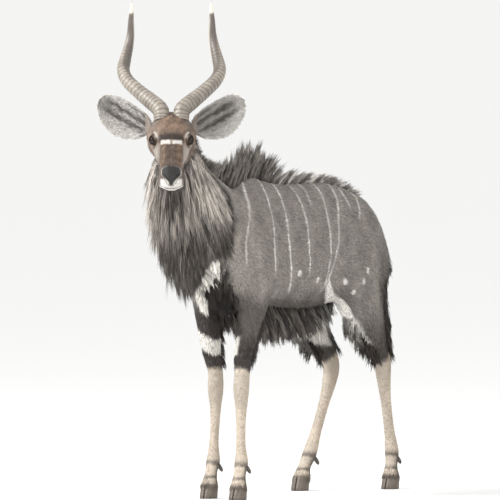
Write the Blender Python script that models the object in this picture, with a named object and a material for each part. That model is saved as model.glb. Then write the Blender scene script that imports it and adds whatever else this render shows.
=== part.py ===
"""A life-size still model of a bull nyala, standing with its head turned to its left.

Metres, +Z up. The animal faces -Y and its own left side is +X. Every sub-part is one closed
body. The trunk, neck and legs are lofted through named stations, blended into one skin and
parted again by thin cuts, so that neighbours meet face to face with a small gap. The long
hair stands on them as coarse locks, each led along the lie of the coat.
"""

import math

import bmesh
import bpy
import numpy as np
from mathutils import Matrix, Vector
from mathutils.bvhtree import BVHTree

CUT = 0.0004
SEAT_GAP = 0.0004
LOCK_GAP = 0.0008
SKIN_VOXEL = 0.0075
SKIN_FACES = 2800

# Head frame: the poll, the way the face looks and how far the muzzle dips.
POLL = Vector((-0.03, -0.686, 1.30))
HEAD_TURN = math.radians(30)
HEAD_DIP = math.radians(38)

# Trunk stations: y, top, bottom, half width, how much the back is pinched to a ridge.
TRUNK = [
    (-0.505, 0.900, 0.745, 0.050, 0.1),
    (-0.470, 0.960, 0.690, 0.088, 0.2),
    (-0.400, 1.030, 0.645, 0.118, 0.4),
    (-0.310, 1.080, 0.622, 0.134, 0.6),
    (-0.235, 1.094, 0.612, 0.140, 0.6),
    (-0.110, 1.064, 0.606, 0.148, 0.4),
    (0.010, 1.052, 0.604, 0.157, 0.3),
    (0.140, 1.052, 0.610, 0.160, 0.3),
    (0.270, 1.050, 0.628, 0.152, 0.3),
    (0.380, 1.032, 0.670, 0.138, 0.3),
    (0.475, 0.998, 0.740, 0.114, 0.3),
    (0.533, 0.958, 0.790, 0.080, 0.2),
    (0.563, 0.915, 0.840, 0.032, 0.1),
]
# Neck stations from inside the chest up to the skull: x, y, z, half width, half depth.
NECK = [
    (0.000, -0.340, 0.840, 0.115, 0.185),
    (0.000, -0.460, 0.890, 0.114, 0.180),
    (-0.004, -0.560, 0.970, 0.106, 0.156),
    (-0.014, -0.625, 1.060, 0.092, 0.122),
    (-0.026, -0.648, 1.140, 0.078, 0.092),
    (-0.042, -0.652, 1.225, 0.064, 0.070),
]
# Leg stations from the body down: x, y, z, half width, front and back half depth.
FORE_LEFT = [
    (0.050, -0.255, 1.040, 0.016, 0.030, 0.036),
    (0.066, -0.290, 0.960, 0.040, 0.070, 0.080),
    (0.086, -0.330, 0.870, 0.047, 0.096, 0.110),
    (0.098, -0.368, 0.770, 0.048, 0.096, 0.112),
    (0.102, -0.362, 0.680, 0.045, 0.068, 0.080),
    (0.094, -0.378, 0.600, 0.038, 0.048, 0.056),
    (0.088, -0.405, 0.500, 0.032, 0.040, 0.036),
    (0.087, -0.414, 0.425, 0.027, 0.031, 0.026),
    (0.086, -0.418, 0.372, 0.028, 0.031, 0.025),
    (0.084, -0.416, 0.325, 0.023, 0.022, 0.023),
    (0.082, -0.415, 0.260, 0.0175, 0.0175, 0.0195),
    (0.080, -0.412, 0.180, 0.0175, 0.0170, 0.0210),
    (0.079, -0.408, 0.128, 0.0245, 0.0230, 0.0280),
    (0.078, -0.414, 0.090, 0.0215, 0.0220, 0.0200),
    (0.078, -0.421, 0.056, 0.0270, 0.0270, 0.0230),
    (0.078, -0.426, 0.030, 0.0260, 0.0260, 0.0200),
]
FORE_RIGHT = [
    (-0.050, -0.250, 1.040, 0.016, 0.030, 0.036),
    (-0.066, -0.280, 0.960, 0.040, 0.070, 0.080),
    (-0.086, -0.315, 0.870, 0.047, 0.096, 0.110),
    (-0.098, -0.345, 0.770, 0.048, 0.096, 0.112),
    (-0.102, -0.330, 0.680, 0.045, 0.068, 0.080),
    (-0.096, -0.325, 0.600, 0.040, 0.050, 0.054),
    (-0.091, -0.312, 0.500, 0.032, 0.040, 0.036),
    (-0.086, -0.294, 0.425, 0.026, 0.028, 0.027),
    (-0.085, -0.294, 0.372, 0.028, 0.031, 0.025),
    (-0.083, -0.299, 0.325, 0.023, 0.022, 0.023),
    (-0.080, -0.308, 0.260, 0.0175, 0.0175, 0.0195),
    (-0.077, -0.322, 0.180, 0.0175, 0.0170, 0.0210),
    (-0.075, -0.330, 0.128, 0.0245, 0.0230, 0.0280),
    (-0.074, -0.343, 0.090, 0.0215, 0.0220, 0.0200),
    (-0.074, -0.352, 0.056, 0.0270, 0.0270, 0.0230),
    (-0.074, -0.358, 0.030, 0.0260, 0.0260, 0.0200),
]
HIND_LEFT = [
    (0.050, 0.400, 1.000, 0.016, 0.040, 0.050),
    (0.070, 0.385, 0.940, 0.046, 0.100, 0.110),
    (0.090, 0.365, 0.870, 0.056, 0.150, 0.155),
    (0.106, 0.345, 0.790, 0.058, 0.172, 0.180),
    (0.114, 0.325, 0.710, 0.053, 0.170, 0.185),
    (0.116, 0.368, 0.620, 0.044, 0.120, 0.130),
    (0.114, 0.432, 0.530, 0.033, 0.066, 0.062),
    (0.111, 0.470, 0.470, 0.027, 0.036, 0.040),
    (0.110, 0.490, 0.425, 0.027, 0.032, 0.042),
    (0.109, 0.501, 0.375, 0.023, 0.027, 0.033),
    (0.107, 0.521, 0.300, 0.0185, 0.0210, 0.0210),
    (0.104, 0.549, 0.200, 0.0185, 0.0200, 0.0200),
    (0.102, 0.570, 0.124, 0.0250, 0.0240, 0.0270),
    (0.102, 0.568, 0.088, 0.0215, 0.0220, 0.0210),
    (0.102, 0.565, 0.056, 0.0270, 0.0270, 0.0230),
    (0.102, 0.562, 0.030, 0.0260, 0.0260, 0.0200),
]
HIND_RIGHT = [
    (-0.050, 0.395, 1.000, 0.016, 0.040, 0.050),
    (-0.070, 0.380, 0.940, 0.046, 0.100, 0.110),
    (-0.090, 0.365, 0.870, 0.056, 0.150, 0.155),
    (-0.106, 0.350, 0.790, 0.058, 0.172, 0.178),
    (-0.114, 0.340, 0.710, 0.053, 0.168, 0.160),
    (-0.116, 0.378, 0.620, 0.042, 0.116, 0.100),
    (-0.114, 0.448, 0.530, 0.031, 0.066, 0.040),
    (-0.111, 0.500, 0.465, 0.027, 0.038, 0.040),
    (-0.109, 0.522, 0.415, 0.027, 0.033, 0.042),
    (-0.108, 0.512, 0.365, 0.023, 0.027, 0.033),
    (-0.106, 0.474, 0.295, 0.0185, 0.0210, 0.0210),
    (-0.103, 0.416, 0.200, 0.0185, 0.0200, 0.0200),
    (-0.101, 0.366, 0.124, 0.0250, 0.0240, 0.0270),
    (-0.100, 0.336, 0.088, 0.0215, 0.0230, 0.0200),
    (-0.100, 0.316, 0.056, 0.0270, 0.0270, 0.0230),
    (-0.100, 0.302, 0.030, 0.0260, 0.0260, 0.0200),
]
LEGS = {
    "fore_left": FORE_LEFT,
    "fore_right": FORE_RIGHT,
    "hind_left": HIND_LEFT,
    "hind_right": HIND_RIGHT,
}
# Thin cuts that part the skin: centre, normal, half reach sideways and along the cut.
NECK_CUT = ((0.0, -0.435, 0.860), (0.0, -0.885, 0.466), 0.26, 0.33)
FORE_TOP = 0.594
FORE_KNEE = 0.432
HIND_TOP = 0.648
HIND_TOP_SLOPE = 0.27
HIND_HOCK = 0.470

# Head stations along the face from the poll: distance, half width, top, bottom, jaw fullness.
HEAD = [
    (-0.040, 0.026, -0.030, -0.075, 1.0),
    (-0.026, 0.048, -0.010, -0.104, 1.0),
    (0.000, 0.065, 0.003, -0.128, 0.9),
    (0.030, 0.075, 0.012, -0.143, 0.8),
    (0.060, 0.078, 0.013, -0.149, 0.7),
    (0.085, 0.071, 0.008, -0.145, 0.6),
    (0.108, 0.060, 0.003, -0.134, 0.5),
    (0.135, 0.053, 0.001, -0.118, 0.5),
    (0.165, 0.048, 0.000, -0.104, 0.5),
    (0.200, 0.042, 0.000, -0.093, 0.6),
    (0.240, 0.038, -0.001, -0.085, 0.8),
    (0.272, 0.038, -0.001, -0.081, 0.9),
    (0.298, 0.038, -0.005, -0.078, 1.0),
    (0.314, 0.034, -0.012, -0.070, 1.0),
    (0.323, 0.024, -0.022, -0.060, 1.0),
]
CHIN_BACK = 0.018
# Raised and sunk places of the head: along, out to the side, rise, reach, height.
HEAD_FORMS = [
    (0.076, 0.052, 0.006, 0.018, 0.008),
    (0.066, 0.076, -0.036, 0.020, 0.006),
    (0.114, 0.056, -0.052, 0.017, 0.005),
    (0.052, 0.066, -0.105, 0.036, 0.007),
    (0.035, 0.018, 0.012, 0.030, 0.004),
    (0.128, 0.024, 0.000, 0.022, -0.003),
    (0.150, 0.046, -0.056, 0.020, 0.004),
    (0.200, 0.042, -0.048, 0.028, -0.006),
    (0.302, 0.027, -0.020, 0.012, 0.005),
    (0.300, 0.032, -0.050, 0.014, 0.006),
    (0.290, 0.012, -0.082, 0.016, 0.004),
]
EYE_PLACE = (0.094, 0.0560, -0.030)
EYE_RADIUS = 0.0170
EYE_LOOK = (0.58, 0.74, 0.24)
LID = 0.0030
EYE_OPEN = (0.0145, 0.0100)
MOUTH_CENTRE = 0.245
MOUTH_TURN = 118
MOUTH_RISE = (-0.062, -0.044)
MOUTH_DEPTH = 0.005
# Nostril path: along, out to the side, rise, radius of the pit.
NOSTRIL = [
    (0.319, 0.0105, -0.036, 0.0030),
    (0.316, 0.0150, -0.026, 0.0048),
    (0.306, 0.0240, -0.018, 0.0042),
    (0.292, 0.0290, -0.022, 0.0018),
]

# Horn centre line: sideways from the middle of the head, height, how far back, radius.
HORN = [
    (0.0325, 1.280, -0.010, 0.0265),
    (0.0370, 1.316, 0.004, 0.0280),
    (0.0700, 1.345, 0.043, 0.0270),
    (0.108, 1.374, 0.095, 0.0245),
    (0.147, 1.409, 0.150, 0.0225),
    (0.162, 1.443, 0.190, 0.0210),
    (0.156, 1.478, 0.225, 0.0190),
    (0.145, 1.520, 0.252, 0.0160),
    (0.138, 1.562, 0.262, 0.0128),
    (0.136, 1.610, 0.256, 0.0095),
    (0.134, 1.645, 0.248, 0.0062),
    (0.133, 1.672, 0.240, 0.0015),
]
HORN_RIDGES = 9

# Ear: root and tip sideways, above the poll and forward; leaf width, sag of its lower edge.
EAR_ROOT = (0.074, -0.052, -0.026)
EAR_TIP = (0.241, 0.048, -0.030)
EAR_WIDTH = 0.051
EAR_SAG = 0.016
EAR_WALL = 0.0040

# Hooves: height and slope of the coronet, half gap between the claws, claw sizes.
HOOF_TOP = 0.044
HOOF_SLOPE = 0.22
HOOF_SPLIT = 0.0020
CLAW_FRONT = 0.040
CLAW_BACK = 0.026
CLAW_WIDE = 0.0265
DEWCLAW = 0.024

# Tail stations: x, y, z, half width, half depth, out to the tips of its hair.
TAIL = [
    (0.000, 0.515, 0.930, 0.012, 0.014),
    (0.002, 0.560, 0.912, 0.015, 0.015),
    (0.006, 0.590, 0.860, 0.021, 0.017),
    (0.014, 0.603, 0.780, 0.028, 0.020),
    (0.026, 0.608, 0.680, 0.034, 0.023),
    (0.042, 0.612, 0.580, 0.032, 0.022),
    (0.058, 0.616, 0.490, 0.022, 0.016),
    (0.068, 0.618, 0.425, 0.004, 0.003),
]
# Locks: length, width, thickness, how far the tips stand off, how fast a free end droops.
HIGH_MANE_LOCK = (0.145, 0.066, 0.013, 0.022, 0.35)
LOW_MANE_LOCK = (0.175, 0.066, 0.013, 0.050, 0.50)
HIGH_THROAT_LOCK = (0.165, 0.062, 0.013, 0.050, 0.50)
LOW_THROAT_LOCK = (0.200, 0.064, 0.013, 0.095, 0.60)
CHEST_LOCK = (0.120, 0.050, 0.012, 0.022, 0.80)
TAIL_LOCK = (0.115, 0.032, 0.008, 0.016, 0.40)
NAPE_LOCK = (0.085, 0.040, 0.009, 0.0, 0.30)
CREST_LOCK = (0.125, 0.040, 0.010, 0.0, 0.10)
LOIN_LOCK = (0.100, 0.036, 0.008, 0.0, 0.14)
BELLY_LOCK = (0.124, 0.052, 0.010, 0.0, 0.20)
HAUNCH_LOCK = (0.090, 0.040, 0.009, 0.0, 0.25)
HOCK_LOCK = (0.110, 0.050, 0.009, 0.0, 0.20)
ARM_LOCK = (0.080, 0.032, 0.008, 0.0, 0.25)
LOCK_STEPS = (0.0, 0.32, 0.64, 1.0)
LOCK_WIDTHS = (0.75, 1.00, 0.70)
LOCK_SINK = 0.012
SEED = 7
SHARP = math.radians(38)
COLOURS = {
    "dark": (0.030, 0.024, 0.020),
    "coat": (0.075, 0.060, 0.050),
    "face": (0.130, 0.070, 0.038),
    "shank": (0.420, 0.260, 0.130),
    "horn": (0.170, 0.130, 0.090),
    "hoof": (0.045, 0.038, 0.032),
    "ear": (0.220, 0.160, 0.115),
    "eye": (0.012, 0.008, 0.006),
}
ROUGHNESS = {"eye": 0.08, "horn": 0.45, "hoof": 0.40}


def clear_scene():
    """Remove whatever the open file holds."""
    for item in list(bpy.data.objects):
        bpy.data.objects.remove(item, do_unlink=True)


def material(key):
    """One Principled material for each kind of surface."""
    found = bpy.data.materials.get(key)
    if found:
        return found
    made = bpy.data.materials.new(key)
    made.use_nodes = True
    shader = made.node_tree.nodes["Principled BSDF"]
    shader.inputs["Base Color"].default_value = (*COLOURS[key], 1.0)
    shader.inputs["Roughness"].default_value = ROUGHNESS.get(key, 0.85)
    made.diffuse_color = (*COLOURS[key], 1.0)
    return made


def add_object(name, mesh, key):
    """Put a mesh in the scene as a named object with one material."""
    made = bpy.data.objects.new(name, mesh)
    bpy.context.scene.collection.objects.link(made)
    mesh.materials.clear()
    mesh.materials.append(material(key))
    return made


def through(stations, count):
    """Read `count` rows from a smooth curve through the stations (Catmull-Rom)."""
    rows = np.array(stations, dtype=float)
    padded = np.vstack([2 * rows[0] - rows[1], rows, 2 * rows[-1] - rows[-2]])
    places = np.linspace(0, len(rows) - 1, count)
    first = np.minimum(places.astype(int), len(rows) - 2)
    t = (places - first)[:, None]
    a, b, c, d = (padded[first + k] for k in range(4))
    return 0.5 * (2 * b + (c - a) * t + (2 * a - 5 * b + 4 * c - d) * t**2 + (3 * b - a - 3 * c + d) * t**3)


def closed_mesh(points, faces):
    """A mesh of triangles, all facing out."""
    mesh = bpy.data.meshes.new("body")
    mesh.from_pydata(points, [], faces)
    work = bmesh.new()
    work.from_mesh(mesh)
    bmesh.ops.recalc_face_normals(work, faces=work.faces)
    bmesh.ops.triangulate(work, faces=work.faces)
    work.to_mesh(mesh)
    work.free()
    return mesh


def mesh_from_rings(rings, zipped=False):
    """A closed body from equal rings, its ends closed by fans or, if zipped, by strips across."""
    count, around = rings.shape[:2]
    points = [tuple(p) for ring in rings for p in ring]
    last = (count - 1) * around
    faces = []
    for k in range(around):
        after = (k + 1) % around
        for row in range(0, last, around):
            faces.append((row + k, row + after, row + around + after, row + around + k))
    if zipped:
        for k in range(around // 2 - 1):
            strip = (k + 1, k, around - 1 - k, around - 2 - k)
            faces.append(strip)
            faces.append(tuple(last + v for v in reversed(strip)))
    else:
        points.append(tuple(rings[0].mean(axis=0)))
        points.append(tuple(rings[-1].mean(axis=0)))
        for k in range(around):
            after = (k + 1) % around
            faces.append((after, k, count * around))
            faces.append((last + k, last + after, count * around + 1))
    return closed_mesh(points, faces)


def unit_rows(vectors):
    """Each row scaled to length one."""
    return vectors / np.linalg.norm(vectors, axis=-1, keepdims=True)


def rings_along(centres, up_hint, sides, ups, downs, around, pinch=0.0):
    """Oval rings square to a path, each with its own half width, upper and lower depth."""
    tangent = unit_rows(np.gradient(centres, axis=0))
    side = unit_rows(np.cross(tangent, up_hint))
    up = np.cross(side, tangent)
    angle = np.linspace(0, 2 * math.pi, around, endpoint=False)
    high = np.sin(angle)
    ridge = 1 - np.reshape(pinch, (-1, 1)) * np.maximum(high, 0) ** 2
    rise = np.where(high > 0, ups[:, None], downs[:, None]) * high
    spread = sides[:, None] * np.cos(angle) * ridge
    return centres[:, None] + side[:, None] * spread[..., None] + up[:, None] * rise[..., None]


def apply_all(item):
    """Turn an object and its modifiers into a plain mesh."""
    graph = bpy.context.evaluated_depsgraph_get()
    graph.update()
    mesh = bpy.data.meshes.new_from_object(item.evaluated_get(graph))
    item.modifiers.clear()
    item.data = mesh
    return item


def settle(item):
    """Put a mesh's points and faces in a fixed order, since a Boolean leaves them in any order."""
    points = np.array([v.co[:] for v in item.data.vertices])
    order = np.lexsort(points.T[::-1])
    new = np.argsort(order).tolist()
    faces = []
    for face in item.data.polygons:
        loop = [new[v] for v in face.vertices]
        start = loop.index(min(loop))
        faces.append(loop[start:] + loop[:start])
    key = item.data.materials[0].name
    item.data = bpy.data.meshes.new("settled")
    item.data.from_pydata(points[order].tolist(), [], sorted(faces))
    item.data.materials.append(material(key))


def boolean(item, others, operation, solver="EXACT"):
    """One Boolean of an object with a collection of others, which are then removed."""
    group = bpy.data.collections.new("pieces")
    bpy.context.scene.collection.children.link(group)
    for other in others:
        bpy.context.scene.collection.objects.unlink(other)
        group.objects.link(other)
    step = item.modifiers.new("boolean", "BOOLEAN")
    step.operation = operation
    step.operand_type = "COLLECTION"
    step.collection = group
    step.solver = solver
    apply_all(item)
    settle(item)
    for other in list(group.objects):
        bpy.data.objects.remove(other, do_unlink=True)
    bpy.data.collections.remove(group)
    return item


def loose_parts(mesh):
    """The vertex numbers of each separate surface of a mesh."""
    owner = list(range(len(mesh.vertices)))

    def root(k):
        while owner[k] != k:
            owner[k] = owner[owner[k]]
            k = owner[k]
        return k

    for edge in mesh.edges:
        a, b = root(edge.vertices[0]), root(edge.vertices[1])
        owner[max(a, b)] = min(a, b)
    sets = {}
    for k in range(len(owner)):
        sets.setdefault(root(k), []).append(k)
    return list(sets.values())


def submesh(mesh, keep):
    """A new mesh with only the given vertices and their faces."""
    order = {old: new for new, old in enumerate(keep)}
    points = [mesh.vertices[k].co[:] for k in keep]
    faces = [[order[v] for v in face.vertices] for face in mesh.polygons if face.vertices[0] in order]
    made = bpy.data.meshes.new("piece")
    made.from_pydata(points, [], faces)
    return made


def box_size(mesh, keys):
    """Volume of the box round some vertices."""
    places = np.array([mesh.vertices[k].co[:] for k in keys])
    return float(np.prod(places.max(axis=0) - places.min(axis=0)))


def keep_largest(item):
    """Keep the object's largest closed surface, and its material."""
    if not item.data.polygons:
        return item
    best = max(loose_parts(item.data), key=lambda keys: box_size(item.data, keys))
    key = item.data.materials[0].name
    item.data = submesh(item.data, best)
    item.data.materials.append(material(key))
    return item


def grown(item, by):
    """A copy of an object with its surface moved outward."""
    copy = add_object("grown", item.data.copy(), "coat")
    normals = [v.normal.copy() for v in copy.data.vertices]
    for vertex, normal in zip(copy.data.vertices, normals):
        vertex.co += normal * by
    return copy


def seat(host, pieces):
    """Cut a socket in the host round each piece, a small gap wider than the piece."""
    for piece in pieces:
        boolean(host, [grown(piece, SEAT_GAP)], "DIFFERENCE", "MANIFOLD")
    return keep_largest(host)


def slab(centre, normal, reach_x, reach_v, thick=CUT):
    """A thin box square to a normal that has no sideways part."""
    normal = Vector(normal).normalized()
    frame = Matrix((Vector((1, 0, 0)), normal.cross(Vector((1, 0, 0))), normal)).transposed().to_4x4()
    mesh = bpy.data.meshes.new("slab")
    work = bmesh.new()
    bmesh.ops.create_cube(work, size=1.0)
    bmesh.ops.scale(work, vec=(2 * reach_x, 2 * reach_v, thick), verts=work.verts)
    bmesh.ops.transform(work, matrix=Matrix.Translation(centre) @ frame, verts=work.verts)
    work.to_mesh(mesh)
    work.free()
    return add_object("slab", mesh, "coat")


def head_axes():
    """Directions of the head: along the face, to the animal's left, out of the forehead."""
    forward = Vector((math.sin(HEAD_TURN), -math.cos(HEAD_TURN), 0))
    left = Vector((math.cos(HEAD_TURN), math.sin(HEAD_TURN), 0))
    axis = forward * math.cos(HEAD_DIP) - Vector((0, 0, math.sin(HEAD_DIP)))
    out = forward * math.sin(HEAD_DIP) + Vector((0, 0, math.cos(HEAD_DIP)))
    return axis, left, out


def head_place(along, side, rise):
    """A point of the head frame, measured from the poll."""
    axis, left, out = head_axes()
    return POLL + axis * along + left * side + out * rise


def level_place(side, height, back):
    """A point beside the head given level: sideways, absolute height, distance back."""
    left = head_axes()[1]
    forward = Vector((math.sin(HEAD_TURN), -math.cos(HEAD_TURN), 0))
    place = POLL + left * side - forward * back
    place.z = height
    return place


def make_trunk():
    """Barrel of the chest, belly and rump."""
    y, top, bottom, half, pinch = through(TRUNK, 40).T
    middle = bottom + (top - bottom) * 0.46
    centres = np.column_stack([0 * y, y, middle])
    rings = rings_along(centres, (0, 0, 1), half, top - middle, middle - bottom, 28, pinch)
    rings[:, :, 1] = y[:, None]
    return add_object("skin", mesh_from_rings(rings), "coat")


def make_tube(name, stations, key, count, around, up_hint):
    """An oval tube through stations of place, half width, front and back half depth."""
    rows = through(stations, count)
    rings = rings_along(rows[:, :3], up_hint, rows[:, 3], rows[:, 4], rows[:, -1], around)
    return add_object(name, mesh_from_rings(rings), key)


def blended_skin():
    """Trunk, neck and legs blended into one smooth skin of triangles."""
    skin = make_trunk()
    others = [make_tube("neck_core", NECK, "coat", 18, 24, (0, 1, 0.4))]
    for name, stations in LEGS.items():
        others.append(make_tube(name, stations, "coat", 46, 20, (0, -1, 0)))
    boolean(skin, others, "UNION")
    remesh = skin.modifiers.new("remesh", "REMESH")
    remesh.mode = "VOXEL"
    remesh.voxel_size = SKIN_VOXEL
    apply_all(skin)
    body = skin.vertex_groups.new(name="body")
    for vertex in skin.data.vertices:
        body.add([vertex.index], min(max((vertex.co.z - 0.60) / 0.12, 0.15), 1.0), "REPLACE")
    smooth = skin.modifiers.new("smooth", "SMOOTH")
    smooth.vertex_group = "body"
    smooth.factor = 0.5
    smooth.iterations = 60
    apply_all(skin)
    thin = skin.modifiers.new("thin", "DECIMATE")
    thin.ratio = SKIN_FACES / (2 * len(skin.data.polygons))
    return apply_all(skin)


def hoof_centre(stations):
    """Where the middle of a foot stands."""
    x, y = stations[-1][:2]
    return Vector((x, y, 0))


def leg_cuts():
    """Thin cuts at the top of each leg, above the knee or hock, and at the coronet."""
    cuts = []
    for name, stations in LEGS.items():
        side = 1 if "left" in name else -1
        foot = hoof_centre(stations)
        if "fore" in name:
            cuts.append(slab((side * 0.105, stations[5][1], FORE_TOP), (0, 0, 1), 0.075, 0.10))
            cuts.append(slab((side * 0.09, stations[7][1], FORE_KNEE), (0, 0, 1), 0.06, 0.09))
        else:
            cuts.append(slab((side * 0.115, 0.345, HIND_TOP), (0, -HIND_TOP_SLOPE, 1), 0.095, 0.27))
            cuts.append(slab((side * 0.11, stations[7][1], HIND_HOCK), (0, 0, 1), 0.06, 0.12))
        cuts.append(slab(foot + Vector((0, 0, HOOF_TOP)), (0, HOOF_SLOPE, 1), 0.045, 0.06))
    return cuts


def part_skin(skin):
    """Part the skin by its cuts and name each piece by where it lies."""
    centre, normal, reach_x, reach_v = NECK_CUT
    boolean(skin, leg_cuts() + [slab(centre, normal, reach_x, reach_v)], "DIFFERENCE")
    wanted = {"neck": (Vector((0, -0.58, 1.0)), "coat"), "trunk": (Vector((0, 0.05, 0.85)), "coat")}
    for name, stations in LEGS.items():
        upper = 6 if "fore" in name else 5
        wanted[f"{name}_upper_leg"] = (Vector(stations[upper][:3]), "dark")
        wanted[f"{name}_lower_leg"] = (Vector(stations[10][:3]), "shank")
    pieces = {}
    for keys in loose_parts(skin.data):
        mesh = submesh(skin.data, keys)
        places = np.array([v.co[:] for v in mesh.vertices])
        middle = Vector((places.min(axis=0) + places.max(axis=0)) / 2)
        name = min(wanted, key=lambda n: (wanted[n][0] - middle).length)
        if middle.z > HOOF_TOP and box_size(mesh, range(len(mesh.vertices))) > 1e-5:
            pieces[name] = add_object(name, mesh, wanted[name][1])
    bpy.data.objects.remove(skin, do_unlink=True)
    return pieces


def head_rings(around=26, count=27):
    """Rings of the head: brow wide above, cheeks full behind, jaw narrow below."""
    along, half, top, bottom, full = through(HEAD, count).T
    angle = np.linspace(0, 2 * math.pi, around, endpoint=False)
    high = np.sin(angle)
    middle = (top + (bottom - top) * 0.42)[:, None]
    wide = half[:, None] * np.sign(np.cos(angle)) * np.abs(np.cos(angle)) ** 0.85
    wide = wide * np.where(high < 0, 1 - (0.42 - 0.30 * full[:, None]) * high * high, 1.0)
    rise = middle + np.where(high > 0, top[:, None] - middle, middle - bottom[:, None]) * high
    local = np.stack([np.broadcast_to(along[:, None], rise.shape), wide, rise], axis=-1)
    centre = np.stack([along, 0 * along, middle[:, 0]], axis=-1)[:, None]
    outward = unit_rows((local - centre) * (0.25, 1, 1) + (0, 0, 1e-9))
    for s, w, r, reach, height in HEAD_FORMS:
        for side in (1, -1):
            far = np.linalg.norm(local - (s, side * w, r), axis=-1)
            local = local + outward * (height * np.exp(-(far / reach) ** 2))[..., None]
    low = np.clip((-0.056 - local[..., 2]) / 0.022, 0, 1) * np.clip((local[..., 0] - 0.24) / 0.07, 0, 1)
    local[..., 0] -= CHIN_BACK * low
    axis, left, out = (np.array(v) for v in head_axes())
    return np.array(POLL) + local[..., :1] * axis + local[..., 1:2] * left + local[..., 2:] * out


def ball(name, centre, radius, key, rows=8, around=12):
    """A round ball."""
    mesh = bpy.data.meshes.new(name)
    work = bmesh.new()
    bmesh.ops.create_uvsphere(work, u_segments=around, v_segments=rows, radius=radius)
    bmesh.ops.translate(work, vec=centre, verts=work.verts)
    work.to_mesh(mesh)
    work.free()
    return add_object(name, mesh, key)


def make_eye(side, name):
    """One eyeball."""
    along, out, rise = EYE_PLACE
    return ball(name, head_place(along, side * out, rise), EYE_RADIUS, "eye")


def lid_ball(side):
    """The shell of both lids, before its slit is cut."""
    along, out, rise = EYE_PLACE
    return ball("lids", head_place(along, side * out, rise), EYE_RADIUS + LID, "face", 8, 14)


def lid_slit(side):
    """Cutter with a leaf-shaped section along the line of sight, which opens the lids."""
    along, out, rise = EYE_PLACE
    centre = head_place(along, side * out, rise)
    axis, left, forehead = head_axes()
    look = (axis * EYE_LOOK[0] + left * side * EYE_LOOK[1] + forehead * EYE_LOOK[2]).normalized()
    across = (axis - look * look.dot(axis)).normalized()
    up = look.cross(across) * side
    if up.z < 0:
        up = -up
    wide, tall = EYE_OPEN
    rings = []
    for far, size in ((0.004, 0.7), (0.016, 1.0), (0.040, 1.6)):
        ring = []
        for k in range(12):
            a = 2 * math.pi * k / 12
            lift = math.sin(a) * abs(math.sin(a)) ** 0.3 * tall
            ring.append((centre + look * far + (across * math.cos(a) * wide + up * lift) * size)[:])
        rings.append(ring)
    return add_object("slit", mesh_from_rings(np.array(rings)), "face")


def skin_point(tree, origin, toward):
    """Where a ray from inside a form leaves it, in world coordinates."""
    start = head_place(*origin)
    run = (head_place(*(a + b for a, b in zip(origin, toward))) - start).normalized()
    return tree.ray_cast(start, run)[0], run


def mouth_cutter(tree):
    """A thin bent slab along the line of the mouth, from one corner round the lips to the other."""
    rings = []
    count = 13
    for k in range(count):
        part = 2 * k / (count - 1) - 1
        turn = part * math.radians(MOUTH_TURN)
        rise = MOUTH_RISE[1] + (MOUTH_RISE[0] - MOUTH_RISE[1]) * part * part
        place, run = skin_point(tree, (MOUTH_CENTRE, 0, rise), (math.cos(turn), math.sin(turn), 0))
        lift = head_axes()[2]
        deep = MOUTH_DEPTH * (1.1 - 0.8 * abs(part) ** 3)
        outer = place + run * 0.003
        inner = place - run * deep
        rings.append([(outer + lift * 0.0022)[:], (outer - lift * 0.0022)[:],
                      (inner - lift * 0.0003)[:], (inner + lift * 0.0003)[:]])
    return add_object("mouth", mesh_from_rings(np.array(rings)), "face")


def nostril_cutter(tree, side):
    """A comma-shaped pit, wide at the front and drawn out to the side above."""
    path = through(NOSTRIL, 5)
    centres = []
    for s, w, r, _ in path:
        place, run = skin_point(tree, (0.285, 0, -0.040), (s - 0.285, side * w, r + 0.040))
        centres.append((place - run * 0.0012)[:])
    rings = rings_along(np.array(centres), head_axes()[0], path[:, 3], path[:, 3], path[:, 3], 6)
    return add_object("nostril", mesh_from_rings(rings), "face")


def make_head(grown_pieces, eyes):
    """Skull and muzzle with sockets for what grows from it, lids, mouth line and nostrils."""
    head = add_object("head", mesh_from_rings(head_rings()), "face")
    tree = BVHTree.FromObject(head, bpy.context.evaluated_depsgraph_get())
    seat(head, grown_pieces)
    boolean(head, [lid_ball(1), lid_ball(-1)], "UNION")
    cutters = [lid_slit(1), lid_slit(-1), mouth_cutter(tree)]
    cutters += [nostril_cutter(tree, 1), nostril_cutter(tree, -1)]
    for cutter in cutters:
        boolean(head, [cutter], "DIFFERENCE")
    return seat(head, eyes)


def horn_rings(side, around=10, count=27):
    """Rings of one horn: a keel turns from the outside to the back and in, ridges cross the front."""
    rows = through(HORN, count)
    centres = np.array([level_place(side * a, b, c)[:] for a, b, c, _ in rows])
    tangent = unit_rows(np.gradient(centres, axis=0))
    out = np.array(head_axes()[1]) * side
    u = unit_rows(np.cross(tangent, np.cross(out, tangent)))
    v = np.cross(tangent, u)
    angle = np.linspace(0, 2 * math.pi, around, endpoint=False)
    part = np.linspace(0, 1, count)[:, None]
    keel_at = side * math.radians(100) + side * part * math.radians(200)
    keel = 0.24 * np.maximum(0, np.cos(angle - keel_at)) ** 8 * np.clip(1.15 - part, 0, 1)
    ridges = 0.035 * np.sin(part * HORN_RIDGES * 2 * math.pi) * np.clip(1 - 1.4 * part, 0, 1)
    radius = rows[:, 3:4] * (1 + keel + ridges)
    across = u[:, None] * (radius * np.cos(angle))[..., None]
    return centres[:, None] + across + v[:, None] * (radius * np.sin(angle))[..., None]


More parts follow.
